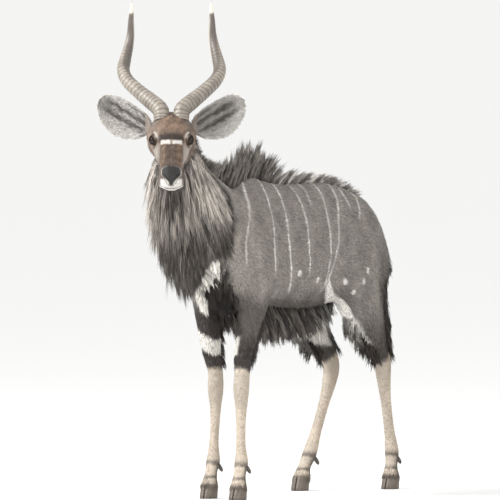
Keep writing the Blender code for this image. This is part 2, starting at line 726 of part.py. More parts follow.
def ear_rings(side, count=11, across=7):
    """Rings of one ear: a leaf bent into a cup, thick at its root and thin at its rim."""
    root = Vector(EAR_ROOT)
    tip = Vector(EAR_TIP)
    line = (tip - root).normalized()
    down = Vector((line.y, -line.x, 0)).normalized()
    rings = []
    for k in range(count):
        part = math.sin(0.5 * math.pi * k / (count - 1)) ** 1.15
        arch = math.sin(part * math.pi)
        middle = root.lerp(tip, part) + Vector((0, 0, -0.014 * arch))
        leaf = math.sqrt(max(1 - abs(1.97 * part - 0.97) ** 2.4, 0.012))
        wide = EAR_WIDTH * leaf
        curl = math.radians(60) + math.radians(160) * (1 - part) ** 1.2
        radius = wide / math.sin(min(curl / 2, math.pi / 2))
        wall = EAR_WALL * (1.6 - 1.1 * part)
        hang = EAR_SAG * arch
        outer = []
        inner = []
        for j in range(across):
            turn = curl * (j / (across - 1) - 0.5)
            away = down * math.sin(turn) - Vector((0, 0, math.cos(turn)))
            sag = hang * max(0.3, math.sin(turn) + 0.5)
            place = middle + away * radius + down * sag + Vector((0, 0, 0.72 * radius))
            outer.append(place)
            inner.append(place - away * wall)
        rings.append([level_place(side * p.x, POLL.z + p.y, -p.z)[:] for p in outer + inner[::-1]])
    return np.array(rings)


def claw_rings(foot, side):
    """Rings of one claw of a hoof, from its flat sole up to the sloping coronet."""
    rings = []
    for part in (0.0, 0.10, 0.45, 0.80, 1.0):
        ring = []
        swell = 1 - 0.05 * (1 - part) ** 8
        for k in range(7):
            a = math.pi * k / 6
            reach = CLAW_FRONT if k < 3 else CLAW_BACK
            forward = reach * math.cos(a) * (1 - 0.06 * part) * swell - 0.016 * part * (math.cos(a) + 1) / 2
            wide = HOOF_SPLIT + CLAW_WIDE * max(math.sin(a), 0) ** 0.8 * swell
            height = (HOOF_TOP - CUT / 2 + HOOF_SLOPE * forward) * part
            ring.append((foot.x + side * wide, foot.y - forward, height))
        rings.append(ring)
    return np.array(rings)


def dewclaw(stations, side, name):
    """One small false claw behind the fetlock."""
    fetlock = Vector(stations[12][:3])
    behind = stations[12][5]
    root = fetlock + Vector((side * 0.011, behind - 0.010, -0.018))
    tip = root + Vector((side * 0.004, 0.010 + DEWCLAW * 0.35, -DEWCLAW))
    centres = np.array([root.lerp(tip, t)[:] for t in (0.0, 0.35, 0.7, 1.0)])
    radius = np.array([0.0075, 0.0085, 0.0070, 0.0025])
    rings = rings_along(centres, (1, 0, 0), radius * 0.8, radius, radius, 7)
    return add_object(name, mesh_from_rings(rings), "hoof")


def combined_tree(items):
    """One search tree over the surfaces of several objects."""
    points = []
    faces = []
    for item in items:
        start = len(points)
        points += [v.co.copy() for v in item.data.vertices]
        faces += [[start + v for v in face.vertices] for face in item.data.polygons]
    return BVHTree.FromPolygons(points, faces)


def lock_path(tree, root, normal, lie, size, rng):
    """The bend of one lock along its lie, lifted off the skin or hanging free; none if it folds."""
    length, _, thick, lift, droop = size
    length *= rng.uniform(0.85, 1.12)
    lift *= rng.uniform(0.75, 1.15)
    heading = (Vector(lie).normalized() + Vector(rng.normal(0, 0.07, 3))).normalized()
    path = [root - normal * LOCK_SINK]
    outs = [normal]
    place = root
    for before, step in zip(LOCK_STEPS, LOCK_STEPS[1:]):
        place = place + heading * length * (step - before)
        near, out, _, far = tree.find_nearest(place)
        want = thick * 0.75 + 0.002 + lift * step ** 1.3
        if (place - near).dot(out) < want and far < 0.2:
            place = near + out * want
        else:
            heading = (heading + Vector((0, 0, -droop))).normalized()
            out = outs[-1]
        path.append(place)
        outs.append(out)
    steps = [(b - a).normalized() for a, b in zip(path[1:], path[2:])]
    turns = list(zip(steps, steps[1:])) + list(zip(outs, outs[1:]))
    if min(a.dot(b) for a, b in turns) < 0.55:
        return None
    return path, outs


def lock_mesh(path, outs, width, thick):
    """A flat, tapered lock along a path: flat beneath, ridged above, drawn to a point."""
    points = []
    for k, part in enumerate(LOCK_WIDTHS):
        run = (path[k + 1] - path[max(k - 1, 0)]).normalized()
        side = run.cross(outs[k]).normalized()
        flat = side.cross(run)
        deep = thick * (1 - 0.55 * LOCK_STEPS[k])
        for across, up in ((-0.5, -0.35), (0.5, -0.35), (0.0, 0.65)):
            points.append((path[k] + side * width * part * across + flat * deep * up)[:])
    points.append(path[-1][:])
    tip = len(points) - 1
    faces = [(2, 1, 0)]
    for k in range(3):
        after = (k + 1) % 3
        faces += [(row + k, row + after, row + 3 + after, row + 3 + k) for row in range(0, tip - 3, 3)]
        faces.append((tip - 3 + k, tip - 3 + after, tip))
    return closed_mesh(points, faces)


def cast(tree, origin, toward, lie, size, face=None):
    """A root where a ray meets the skin: place, normal, lie, size, and where the flat side faces."""
    place, normal, _, _ = tree.ray_cast(Vector(origin), Vector(toward).normalized())
    return place, normal, Vector(lie), size, face


def neck_roots(tree):
    """Staggered rows round the throat and sides of the neck, then a crest down the nape."""
    rows = through(NECK, 41)
    roots = []
    for row, part in enumerate((0.94, 0.79, 0.64, 0.49, 0.34, 0.20)):
        k = int(part * 40)
        along = Vector(rows[k + 1][:3] - rows[k - 1][:3]).normalized()
        side = along.cross(Vector((0, 1, 0.4))).normalized()
        up = side.cross(along)
        for j in range(8):
            turn = math.radians(-90 + 218 * ((j + 0.5 * (row % 2) + 0.25) / 8 - 0.5))
            toward = side * math.cos(turn) + up * math.sin(turn)
            throat = max(0.0, -math.sin(turn)) ** 1.5
            lie = -along * 0.9 + Vector((0, 0, -0.75)) - up * 0.15 * throat
            mane = [b + (a - b) * part for a, b in zip(HIGH_MANE_LOCK, LOW_MANE_LOCK)]
            beard = [b + (a - b) * part for a, b in zip(HIGH_THROAT_LOCK, LOW_THROAT_LOCK)]
            size = [a + (b - a) * throat for a, b in zip(mane, beard)]
            roots.append(cast(tree, rows[k][:3], toward, lie, size))
    for j in range(11):
        k = int((0.96 - 0.068 * j) * 40)
        along = Vector(rows[min(k + 1, 40)][:3] - rows[k - 1][:3]).normalized()
        side = along.cross(Vector((0, 1, 0.4))).normalized()
        turn = 0.13 if j % 2 else -0.13
        toward = side.cross(along) + side * turn
        low = min(max((j - 3) / 5, 0.0), 1.0)
        lie = side.cross(along) * (0.3 + 0.5 * low) - along * (1 - low) + Vector((0, 0, 0.9 * low))
        size = [a + (b - a) * low for a, b in zip(NAPE_LOCK, CREST_LOCK)]
        roots.append(cast(tree, rows[k][:3], toward, lie, size, side * turn))
    return roots


def ridge_roots(tree, first, last, count, size, lean):
    """Locks in a zigzag along the ridge of the back, in front longer and more upright."""
    length, *others = size
    roots = []
    for k in range(count):
        part = k / (count - 1)
        y = first + (last - first) * part
        side = 0.009 if k % 2 else -0.009
        lie = (side * 10, 1.0, lean[0] + (lean[1] - lean[0]) * part)
        size = (length * (1 - 0.40 * part), *others)
        roots.append(cast(tree, (side, y, 1.6), (0, 0, -1), lie, size, Vector((side, 0, 0))))
    return roots


def belly_roots(tree):
    """Two rows of locks under the belly and two across the brisket."""
    roots = []
    for k in range(16):
        y = -0.27 + 0.56 * k / 15
        side = 0.036 * (1 if k % 2 else -1)
        lie = (side * 3, 0.50, -0.80)
        roots.append(cast(tree, (side, y, 0.3), (0, 0, 1), lie, BELLY_LOCK, Vector((side, 0, 0))))
    for k in range(10):
        side = -0.090 + 0.18 * (k % 5) / 4
        height = 0.700 if k < 5 else 0.775
        roots.append(cast(tree, (side, -0.9, height), (0, 1, 0), (side * 1.5, -0.10, -1.0), CHEST_LOCK))
    return roots


def leg_fringe_roots(tree, name, stations):
    """Locks down the back edge of the thigh or forearm, and a few in front of the hock."""
    side = 1 if "left" in name else -1
    rows = through(stations, 121)
    heights, size, lie = (0.585, 0.555, 0.520, 0.485), ARM_LOCK, Vector((0, 0.55, -1.0))
    if "hind" in name:
        lowest = 0.51 if side > 0 else 0.66
        heights, size, lie = np.arange(0.80, lowest, -0.048), HAUNCH_LOCK, Vector((0, 0.35, -1.0))
    roots = []
    for k, height in enumerate(heights):
        row = rows[int(np.argmin(abs(rows[:, 2] - height)))]
        across = 0.35 if k % 2 else -0.25
        face = Vector((side * across, 0, 0))
        roots.append(cast(tree, row[:3], (side * across, 1, 0), lie, size, face))
    if "hind" in name:
        highest = 0.565 if side > 0 else 0.640
        for k, height in enumerate(np.arange(highest, 0.475, -0.029)):
            row = rows[int(np.argmin(abs(rows[:, 2] - height)))]
            across = side * (0.30 if k % 2 else -0.15)
            face = Vector((across, 0, 0))
            roots.append(cast(tree, row[:3], (across, -1, 0), (0, 0.05, -1.0), HOCK_LOCK, face))
    return roots


def tail_roots(tree):
    """Rings of locks down the tail."""
    rows = through(TAIL, 61)
    roots = []
    for row, part in enumerate((0.30, 0.44, 0.58, 0.72)):
        k = int(part * 60)
        lie = rows[k + 1][:3] - rows[k - 1][:3]
        for j in range(4):
            turn = math.radians(90 * j + 45 * (row % 2))
            roots.append(cast(tree, rows[k][:3], (math.cos(turn), math.sin(turn), 0), lie, TAIL_LOCK))
    return roots


def crosses(item, other):
    """Whether two objects' surfaces cross."""
    return bool(combined_tree([item]).overlap(combined_tree([other])))


def plant(pieces, roots, others, seed):
    """Grow each lock, clear it of every node but its own, and fuse it into its own node."""
    rng = np.random.default_rng(seed)
    tree = combined_tree(list(pieces.values()) + others)
    trees = {name: combined_tree([item]) for name, item in pieces.items()}
    locks = {}
    for place, normal, lie, size, face in roots:
        if place is None:
            continue
        owner = min(trees, key=lambda name: trees[name].find_nearest(place)[3])
        bend = lock_path(tree, place, normal, lie, size, rng)
        if bend is None:
            continue
        path, outs = bend
        if face:
            outs = [face] * len(outs)
        lock = add_object("lock", lock_mesh(path, outs, size[1] * rng.uniform(0.88, 1.10), size[2]), "dark")
        locks.setdefault(owner, []).append(lock)
    for owner, found in locks.items():
        near = [item for name, item in pieces.items() if name != owner] + others
        for lock in found:
            for item in near:
                if crosses(lock, item):
                    boolean(lock, [grown(item, LOCK_GAP)], "DIFFERENCE", "MANIFOLD")
            keep_largest(lock)
        keep_largest(boolean(pieces[owner], found, "UNION", "MANIFOLD"))


def centre_model():
    """Bring the middle of the model's foot print to the world origin, and shade round forms smooth."""
    items = [item for item in bpy.data.objects if item.type == "MESH"]
    places = np.array([v.co[:] for item in items for v in item.data.vertices])
    low, high = places.min(axis=0), places.max(axis=0)
    shift = Matrix.Translation((-(low[0] + high[0]) / 2, -(low[1] + high[1]) / 2, 0))
    for item in items:
        item.data.transform(shift)
        item.data.shade_smooth()
        item.data.set_sharp_from_angle(angle=SHARP)


def make_feet(pieces):
    """Two claws and two dewclaws for each foot."""
    for name, stations in LEGS.items():
        foot = hoof_centre(stations)
        lower = pieces[f"{name}_lower_leg"]
        small = []
        for side, label in ((1, "left"), (-1, "right")):
            add_object(f"{name}_hoof_{label}", mesh_from_rings(claw_rings(foot, side)), "hoof")
            small.append(dewclaw(stations, side, f"{name}_dewclaw_{label}"))
        seat(lower, small)


def build():
    """Model every sub-part and leave one object for each."""
    clear_scene()
    body = blended_skin()
    skin = combined_tree([body])
    pieces = part_skin(body)
    eyes = []
    others = []
    for side, label in ((1, "left"), (-1, "right")):
        eyes.append(make_eye(side, f"eye_{label}"))
        others.append(add_object(f"horn_{label}", mesh_from_rings(horn_rings(side)), "horn"))
        others.append(add_object(f"ear_{label}", mesh_from_rings(ear_rings(side), True), "ear"))
    head = make_head(others, eyes)
    seat(pieces["neck"], [head])
    make_feet(pieces)
    pieces["tail"] = make_tube("tail", TAIL, "dark", 12, 8, (1, 0, 0))
    seat(pieces["trunk"], [pieces["tail"]])
    others += [head]
    crest = ridge_roots(skin, -0.335, -0.07, 12, CREST_LOCK, (5.0, 0.9))
    loins = ridge_roots(skin, -0.04, 0.46, 14, LOIN_LOCK, (1.0, 0.32))
    plant(pieces, crest + loins + belly_roots(skin), others, SEED)
    for name, stations in LEGS.items():
        plant(pieces, leg_fringe_roots(skin, name, stations), others, SEED)
    plant(pieces, neck_roots(skin), others, SEED + 1)
    plant(pieces, tail_roots(combined_tree([pieces["tail"]])), others, SEED)
    centre_model()


if __name__ == "__main__":
    build()
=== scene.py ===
"""Looks of a life-size bull nyala: one skin, a solid coat over it, eyes, horns and hooves, and the stage.

The file is laid out as an add-on and run as a script. The body is worked out in the animal's own
frame, in metres: it faces -Y, its left side is +X, +Z is up. SHIFT moves that frame onto the
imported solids. Every surface is a grid over two parameters or a profile carried along a path.
"""

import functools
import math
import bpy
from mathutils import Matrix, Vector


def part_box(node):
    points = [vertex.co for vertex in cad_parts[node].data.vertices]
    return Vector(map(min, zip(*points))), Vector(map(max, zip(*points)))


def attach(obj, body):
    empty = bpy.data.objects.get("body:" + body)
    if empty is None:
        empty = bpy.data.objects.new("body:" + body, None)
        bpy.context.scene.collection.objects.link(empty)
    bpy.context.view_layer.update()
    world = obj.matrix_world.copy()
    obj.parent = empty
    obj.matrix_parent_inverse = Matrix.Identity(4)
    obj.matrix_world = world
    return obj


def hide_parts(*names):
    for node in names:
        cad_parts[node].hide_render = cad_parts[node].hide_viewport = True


bl_info = {
    "name": "Nyala Looks",
    "version": (1, 0, 0),
    "blender": (4, 5, 0),
    "location": "View3D > Sidebar > Nyala",
    "description": "Skin, coat, horns, eyes and hooves of a standing bull nyala",
    "category": "Object",
}

import bpy
import numpy as np
from bpy.props import FloatProperty, FloatVectorProperty, IntProperty, PointerProperty
from mathutils import Vector
from mathutils.bvhtree import BVHTree

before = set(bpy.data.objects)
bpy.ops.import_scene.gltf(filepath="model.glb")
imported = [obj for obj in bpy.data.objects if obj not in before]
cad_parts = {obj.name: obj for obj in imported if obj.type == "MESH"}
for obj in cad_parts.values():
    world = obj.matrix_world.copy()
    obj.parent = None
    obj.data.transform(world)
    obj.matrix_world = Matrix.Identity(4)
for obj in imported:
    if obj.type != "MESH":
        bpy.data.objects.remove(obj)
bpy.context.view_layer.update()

LEG_NAMES = ("fore_left", "fore_right", "hind_left", "hind_right")
SIDES = (("left", 1), ("right", -1))

# Head frame: the poll, the way the face looks and how far the muzzle dips.
POLL = np.array((-0.03, -0.686, 1.30))
HEAD_TURN = math.radians(30)
HEAD_DIP = math.radians(38)
FACING = np.array((math.sin(HEAD_TURN), -math.cos(HEAD_TURN), 0.0))
LEFT = np.array((math.cos(HEAD_TURN), math.sin(HEAD_TURN), 0.0))
UP = np.array((0.0, 0.0, 1.0))
ALONG = FACING * math.cos(HEAD_DIP) - UP * math.sin(HEAD_DIP)
OUT = FACING * math.sin(HEAD_DIP) + UP * math.cos(HEAD_DIP)

# Trunk stations: y, top, bottom, half width, how much the back is pinched to a ridge.
TRUNK = (
    (-0.505, 0.900, 0.745, 0.050, 0.1),
    (-0.470, 0.960, 0.690, 0.088, 0.2),
    (-0.400, 1.030, 0.645, 0.118, 0.4),
    (-0.310, 1.080, 0.622, 0.134, 0.6),
    (-0.235, 1.094, 0.612, 0.140, 0.6),
    (-0.110, 1.064, 0.606, 0.148, 0.4),
    (0.010, 1.052, 0.604, 0.157, 0.3),
    (0.140, 1.052, 0.610, 0.160, 0.3),
    (0.270, 1.050, 0.628, 0.152, 0.3),
    (0.380, 1.032, 0.670, 0.138, 0.3),
    (0.475, 0.998, 0.740, 0.114, 0.3),
    (0.533, 0.958, 0.790, 0.080, 0.2),
    (0.563, 0.915, 0.840, 0.032, 0.1),
)
# Neck stations from inside the chest up to the skull: x, y, z, half width, half depth.
NECK = (
    (0.000, -0.340, 0.840, 0.115, 0.185),
    (0.000, -0.460, 0.890, 0.114, 0.180),
    (-0.004, -0.560, 0.970, 0.106, 0.156),
    (-0.014, -0.625, 1.060, 0.092, 0.122),
    (-0.026, -0.648, 1.140, 0.078, 0.092),
    (-0.042, -0.652, 1.225, 0.064, 0.070),
)
# Leg stations from the body down: x, y, z, half width, front and back half depth.
LEGS = {
    "fore_left": (
        (0.050, -0.255, 1.040, 0.016, 0.030, 0.036),
        (0.066, -0.290, 0.960, 0.040, 0.070, 0.080),
        (0.086, -0.330, 0.870, 0.047, 0.096, 0.110),
        (0.098, -0.368, 0.770, 0.048, 0.096, 0.112),
        (0.102, -0.362, 0.680, 0.045, 0.068, 0.080),
        (0.094, -0.378, 0.600, 0.038, 0.048, 0.056),
        (0.088, -0.405, 0.500, 0.032, 0.040, 0.036),
        (0.087, -0.414, 0.425, 0.027, 0.031, 0.026),
        (0.086, -0.418, 0.372, 0.028, 0.031, 0.025),
        (0.084, -0.416, 0.325, 0.023, 0.022, 0.023),
        (0.082, -0.415, 0.260, 0.0175, 0.0175, 0.0195),
        (0.080, -0.412, 0.180, 0.0175, 0.0170, 0.0210),
        (0.079, -0.408, 0.128, 0.0245, 0.0230, 0.0280),
        (0.078, -0.414, 0.090, 0.0215, 0.0220, 0.0200),
        (0.078, -0.421, 0.056, 0.0270, 0.0270, 0.0230),
        (0.078, -0.426, 0.030, 0.0260, 0.0260, 0.0200),
    ),
    "fore_right": (
        (-0.050, -0.250, 1.040, 0.016, 0.030, 0.036),
        (-0.066, -0.280, 0.960, 0.040, 0.070, 0.080),
        (-0.086, -0.315, 0.870, 0.047, 0.096, 0.110),
        (-0.098, -0.345, 0.770, 0.048, 0.096, 0.112),
        (-0.102, -0.330, 0.680, 0.045, 0.068, 0.080),
        (-0.096, -0.325, 0.600, 0.040, 0.050, 0.054),
        (-0.091, -0.312, 0.500, 0.032, 0.040, 0.036),
        (-0.086, -0.294, 0.425, 0.026, 0.028, 0.027),
        (-0.085, -0.294, 0.372, 0.028, 0.031, 0.025),
        (-0.083, -0.299, 0.325, 0.023, 0.022, 0.023),
        (-0.080, -0.308, 0.260, 0.0175, 0.0175, 0.0195),
        (-0.077, -0.322, 0.180, 0.0175, 0.0170, 0.0210),
        (-0.075, -0.330, 0.128, 0.0245, 0.0230, 0.0280),
        (-0.074, -0.343, 0.090, 0.0215, 0.0220, 0.0200),
        (-0.074, -0.352, 0.056, 0.0270, 0.0270, 0.0230),
        (-0.074, -0.358, 0.030, 0.0260, 0.0260, 0.0200),
    ),
    "hind_left": (
        (0.050, 0.400, 1.000, 0.016, 0.040, 0.050),
        (0.070, 0.385, 0.940, 0.046, 0.100, 0.110),
        (0.090, 0.365, 0.870, 0.056, 0.150, 0.155),
        (0.106, 0.345, 0.790, 0.058, 0.172, 0.180),
        (0.114, 0.325, 0.710, 0.053, 0.170, 0.185),
        (0.116, 0.368, 0.620, 0.044, 0.120, 0.130),
        (0.114, 0.432, 0.530, 0.033, 0.066, 0.062),
        (0.111, 0.470, 0.470, 0.027, 0.036, 0.040),
        (0.110, 0.490, 0.425, 0.027, 0.032, 0.042),
        (0.109, 0.501, 0.375, 0.023, 0.027, 0.033),
        (0.107, 0.521, 0.300, 0.0185, 0.0210, 0.0210),
        (0.104, 0.549, 0.200, 0.0185, 0.0200, 0.0200),
        (0.102, 0.570, 0.124, 0.0250, 0.0240, 0.0270),
        (0.102, 0.568, 0.088, 0.0215, 0.0220, 0.0210),
        (0.102, 0.565, 0.056, 0.0270, 0.0270, 0.0230),
        (0.102, 0.562, 0.030, 0.0260, 0.0260, 0.0200),
    ),
    "hind_right": (
        (-0.050, 0.395, 1.000, 0.016, 0.040, 0.050),
        (-0.070, 0.380, 0.940, 0.046, 0.100, 0.110),
        (-0.090, 0.365, 0.870, 0.056, 0.150, 0.155),
        (-0.106, 0.350, 0.790, 0.058, 0.172, 0.178),
        (-0.114, 0.340, 0.710, 0.053, 0.168, 0.160),
        (-0.116, 0.378, 0.620, 0.042, 0.116, 0.100),
        (-0.114, 0.448, 0.530, 0.031, 0.066, 0.040),
        (-0.111, 0.500, 0.465, 0.027, 0.038, 0.040),
        (-0.109, 0.522, 0.415, 0.027, 0.033, 0.042),
        (-0.108, 0.512, 0.365, 0.023, 0.027, 0.033),
        (-0.106, 0.474, 0.295, 0.0185, 0.0210, 0.0210),
        (-0.103, 0.416, 0.200, 0.0185, 0.0200, 0.0200),
        (-0.101, 0.366, 0.124, 0.0250, 0.0240, 0.0270),
        (-0.100, 0.336, 0.088, 0.0215, 0.0230, 0.0200),
        (-0.100, 0.316, 0.056, 0.0270, 0.0270, 0.0230),
        (-0.100, 0.302, 0.030, 0.0260, 0.0260, 0.0200),
    ),
}
# Tail stations of the bare tail: x, y, z, half width, half depth.
TAIL = (
    (0.000, 0.515, 0.930, 0.012, 0.014),
    (0.002, 0.560, 0.912, 0.015, 0.015),
    (0.006, 0.590, 0.860, 0.015, 0.013),
    (0.014, 0.603, 0.780, 0.014, 0.011),
    (0.026, 0.608, 0.680, 0.012, 0.009),
    (0.042, 0.612, 0.580, 0.009, 0.007),
    (0.050, 0.614, 0.530, 0.004, 0.004),
)
# Head stations along the face from the poll: distance, half width, top, bottom, jaw fullness.
HEAD = (
    (-0.040, 0.026, -0.030, -0.075, 1.0),
    (-0.026, 0.048, -0.010, -0.104, 1.0),
    (0.000, 0.065, 0.003, -0.128, 0.9),
    (0.030, 0.075, 0.012, -0.143, 0.8),
    (0.060, 0.078, 0.013, -0.149, 0.7),
    (0.085, 0.071, 0.008, -0.145, 0.6),
    (0.108, 0.060, 0.003, -0.134, 0.5),
    (0.135, 0.053, 0.001, -0.118, 0.5),
    (0.165, 0.048, 0.000, -0.104, 0.5),
    (0.200, 0.042, 0.000, -0.093, 0.6),
    (0.240, 0.038, -0.001, -0.085, 0.8),
    (0.272, 0.038, -0.001, -0.081, 0.9),
    (0.298, 0.038, -0.005, -0.078, 1.0),
    (0.314, 0.034, -0.012, -0.070, 1.0),
    (0.323, 0.024, -0.022, -0.060, 1.0),
)
CHIN_BACK = 0.018
# Raised and sunk places of the head: along, out to the side, rise, reach, height.
HEAD_FORMS = (
    (0.076, 0.052, 0.006, 0.018, 0.008),
    (0.066, 0.076, -0.036, 0.020, 0.006),
    (0.114, 0.056, -0.052, 0.017, 0.005),
    (0.052, 0.066, -0.105, 0.036, 0.007),
    (0.035, 0.018, 0.012, 0.030, 0.004),
    (0.128, 0.024, 0.000, 0.022, -0.003),
    (0.150, 0.046, -0.056, 0.020, 0.004),
    (0.200, 0.042, -0.048, 0.028, -0.006),
    (0.302, 0.027, -0.020, 0.012, 0.005),
    (0.300, 0.032, -0.050, 0.014, 0.006),
    (0.290, 0.012, -0.082, 0.016, 0.004),
)
# Finer folds of the face, in the same terms.
FACE_FOLDS = (
    (0.118, 0.050, -0.026, 0.007, -0.0030),
    (0.128, 0.046, -0.032, 0.006, -0.0022),
    (0.068, 0.058, -0.016, 0.008, 0.0022),
    (0.140, 0.051, -0.046, 0.010, 0.0024),
    (0.165, 0.050, -0.050, 0.009, 0.0022),
    (0.150, 0.040, -0.080, 0.018, -0.0030),
    (0.180, 0.020, 0.000, 0.014, 0.0016),
    (0.215, 0.016, 0.000, 0.014, 0.0014),
    (0.070, 0.000, 0.014, 0.013, -0.0022),
    (0.044, 0.074, -0.060, 0.014, -0.0028),
    (0.268, 0.034, -0.040, 0.008, -0.0016),
    (0.258, 0.030, -0.066, 0.010, 0.0018),
)
EYE_PLACE = (0.094, 0.0560, -0.030)
EYE_RADIUS = 0.0170
EYE_LOOK = (0.64, 0.66, 0.38)
LID = 0.0026
EYE_OPEN = (0.0150, 0.0102, 0.0082)
MOUTH_CENTRE = 0.245
MOUTH_TURN = math.radians(118)
MOUTH_RISE = (-0.062, -0.044)
# Nostril path: along, out to the side, rise, radius of the pit.
NOSTRIL = (
    (0.318, 0.0100, -0.031, 0.0036),
    (0.315, 0.0150, -0.021, 0.0056),
    (0.305, 0.0225, -0.012, 0.0052),
    (0.292, 0.0275, -0.015, 0.0024),
)
# Horn centre line: sideways from the middle of the head, height, how far back, radius.
HORN = (
    (0.0325, 1.280, -0.010, 0.0265),
    (0.0370, 1.316, 0.004, 0.0280),
    (0.0700, 1.345, 0.043, 0.0270),
    (0.108, 1.374, 0.095, 0.0245),
    (0.147, 1.409, 0.150, 0.0225),
    (0.162, 1.443, 0.190, 0.0210),
    (0.156, 1.478, 0.225, 0.0190),
    (0.145, 1.520, 0.252, 0.0160),
    (0.138, 1.562, 0.262, 0.0128),
    (0.136, 1.610, 0.256, 0.0095),
    (0.134, 1.645, 0.248, 0.0062),
    (0.133, 1.672, 0.240, 0.0015),
)
HORN_RINGS = 42
# Ear: root and tip sideways, above the poll and forward; leaf width, sag of its lower edge.
EAR_ROOT = np.array((0.074, -0.052, -0.026))
EAR_TIP = np.array((0.241, 0.048, -0.030))
EAR_WIDTH = 0.051
EAR_SAG = 0.016
EAR_WALL = 0.0040
# Hooves: height and slope of the coronet, half gap between the claws, claw sizes.
HOOF_TOP = 0.044
HOOF_SLOPE = 0.22
HOOF_SPLIT = 0.0020
CLAW_FRONT = 0.040
CLAW_BACK = 0.026
CLAW_WIDE = 0.0265
DEWCLAW = 0.024
# White stripes of the flank: y and height at the back, half way down and at the lower end.
STRIPES = (
    ((-0.300, 1.060), (-0.420, 0.900), (-0.440, 0.795), 0.80),
    ((-0.190, 1.070), (-0.276, 0.880), (-0.265, 0.765), 1.0),
    ((-0.095, 1.060), (-0.182, 0.870), (-0.145, 0.690), 1.0),
    ((0.010, 1.050), (-0.062, 0.870), (-0.056, 0.745), 1.0),
    ((0.088, 1.050), (0.058, 1.010), (0.034, 0.975), 0.7),
    ((0.175, 1.050), (0.078, 0.880), (0.054, 0.690), 1.0),
    ((0.275, 1.045), (0.137, 0.877), (0.062, 0.700), 0.9),
    ((0.325, 1.035), (0.300, 1.000), (0.275, 0.955), 0.7),
    ((0.400, 1.015), (0.350, 0.970), (0.310, 0.925), 0.7),
)
STRIPE_WIDTH = 0.0080
# Back edge of the mane: y at several heights; low edge of the mane: height at several x.
MANE_EDGE = (
    (0.600, -0.380),
    (0.690, -0.430),
    (0.730, -0.490),
    (0.760, -0.560),
    (0.811, -0.546),
    (0.861, -0.522),
    (0.938, -0.498),
    (1.031, -0.495),
    (1.096, -0.555),
    (1.150, -0.600),
)
MANE_END = ((-0.110, 0.590), (-0.055, 0.640), (-0.010, 0.708), (0.038, 0.768), (0.080, 0.822))
# Half width of the dark hair of the chest, by height.
CHEST_DARK = ((0.60, 0.085), (0.66, 0.075), (0.70, 0.062), (0.74, 0.070), (0.80, 0.082), (0.84, 0.088))
# White spots low on the flank and on the thigh: y, z, half length along y and z.
SPOTS = (
    (-0.114, 0.754, 0.010, 0.011),
    (0.002, 0.726, 0.009, 0.009),
    (0.186, 0.714, 0.009, 0.011),
    (0.223, 0.679, 0.011, 0.009),
    (0.274, 0.713, 0.008, 0.012),
    (0.298, 0.747, 0.006, 0.012),
)


class NyalaSizes(bpy.types.PropertyGroup):
    """Sizes and counts of the coat."""

    coat_depth: FloatProperty(
        name="Coat Depth", description="How far the skin lies inside the solids",
        default=0.0030, min=0.0, unit="LENGTH")
    voxel: FloatProperty(
        name="Skin Grain", description="Size of the faces of the body's skin",
        default=0.0075, min=0.004, unit="LENGTH")
    short_length: FloatProperty(
        name="Short Coat", description="Length of a tuft on the trunk",
        default=0.0165, unit="LENGTH")
    short_width: FloatProperty(
        name="Tuft Width", description="Width of a tuft on the trunk",
        default=0.0030, unit="LENGTH")
    mane_width: FloatProperty(
        name="Strand Width", description="Width of a strand of long hair",
        default=0.0031, unit="LENGTH")
    trunk_tufts: IntProperty(
        name="Trunk Tufts", description="Number of tufts on the trunk and thighs", default=80000)
    mane_strands: IntProperty(
        name="Mane Strands", description="Number of strands round the neck", default=16400)


class NyalaColours(bpy.types.PropertyGroup):
    """Colours of the coat and the horn parts."""

    slate: FloatVectorProperty(
        name="Slate", description="Short coat of the trunk", subtype="COLOR",
        default=(0.258, 0.234, 0.210))
    dark: FloatVectorProperty(
        name="Dark", description="Darkest long hair", subtype="COLOR",
        default=(0.020, 0.016, 0.014))
    white: FloatVectorProperty(
        name="White", description="Stripes, spots and patches", subtype="COLOR",
        default=(0.78, 0.75, 0.70))
    tan: FloatVectorProperty(
        name="Tan", description="Lower legs", subtype="COLOR",
        default=(0.56, 0.42, 0.28))
    rufous: FloatVectorProperty(
        name="Rufous", description="Forehead and cheeks", subtype="COLOR",
        default=(0.232, 0.160, 0.114))
    horn: FloatVectorProperty(
        name="Horn", description="Body of the horns", subtype="COLOR",
        default=(0.250, 0.218, 0.182))
    ivory: FloatVectorProperty(
        name="Ivory", description="Tips of the horns", subtype="COLOR",
        default=(0.70, 0.64, 0.52))
    hoof: FloatVectorProperty(
        name="Hoof", description="Wall of the hooves", subtype="COLOR",
        default=(0.066, 0.055, 0.046))


def unit(rows):
    """Each row scaled to length one."""
    return rows / np.maximum(np.linalg.norm(rows, axis=-1, keepdims=True), 1e-12)


def dot(a, b):
    """Dot product of matching rows, kept as a column."""
    return (a * b).sum(axis=-1, keepdims=True)


EAR_LINE = unit(EAR_TIP - EAR_ROOT)
EAR_DOWN = unit(np.array((EAR_LINE[1], -EAR_LINE[0], 0.0)))


def ramp(low, high, value):
    """0 below low, 1 above high, and a smooth S between them."""
    t = np.clip((value - low) / (high - low), 0, 1)
    return t * t * (3 - 2 * t)


def bell(value, reach):
    """1 at zero, falling off smoothly on both sides over about the reach."""
    return np.exp(-((value / reach) ** 2))


def columns(*values):
    """Numbers and arrays side by side as the columns of one array."""
    return np.stack(np.broadcast_arrays(*values), axis=-1)


def read_table(table, value):
    """The second column of a table, read between the rows of its first."""
    first, second = np.array(table).T
    return np.interp(value, first, second)


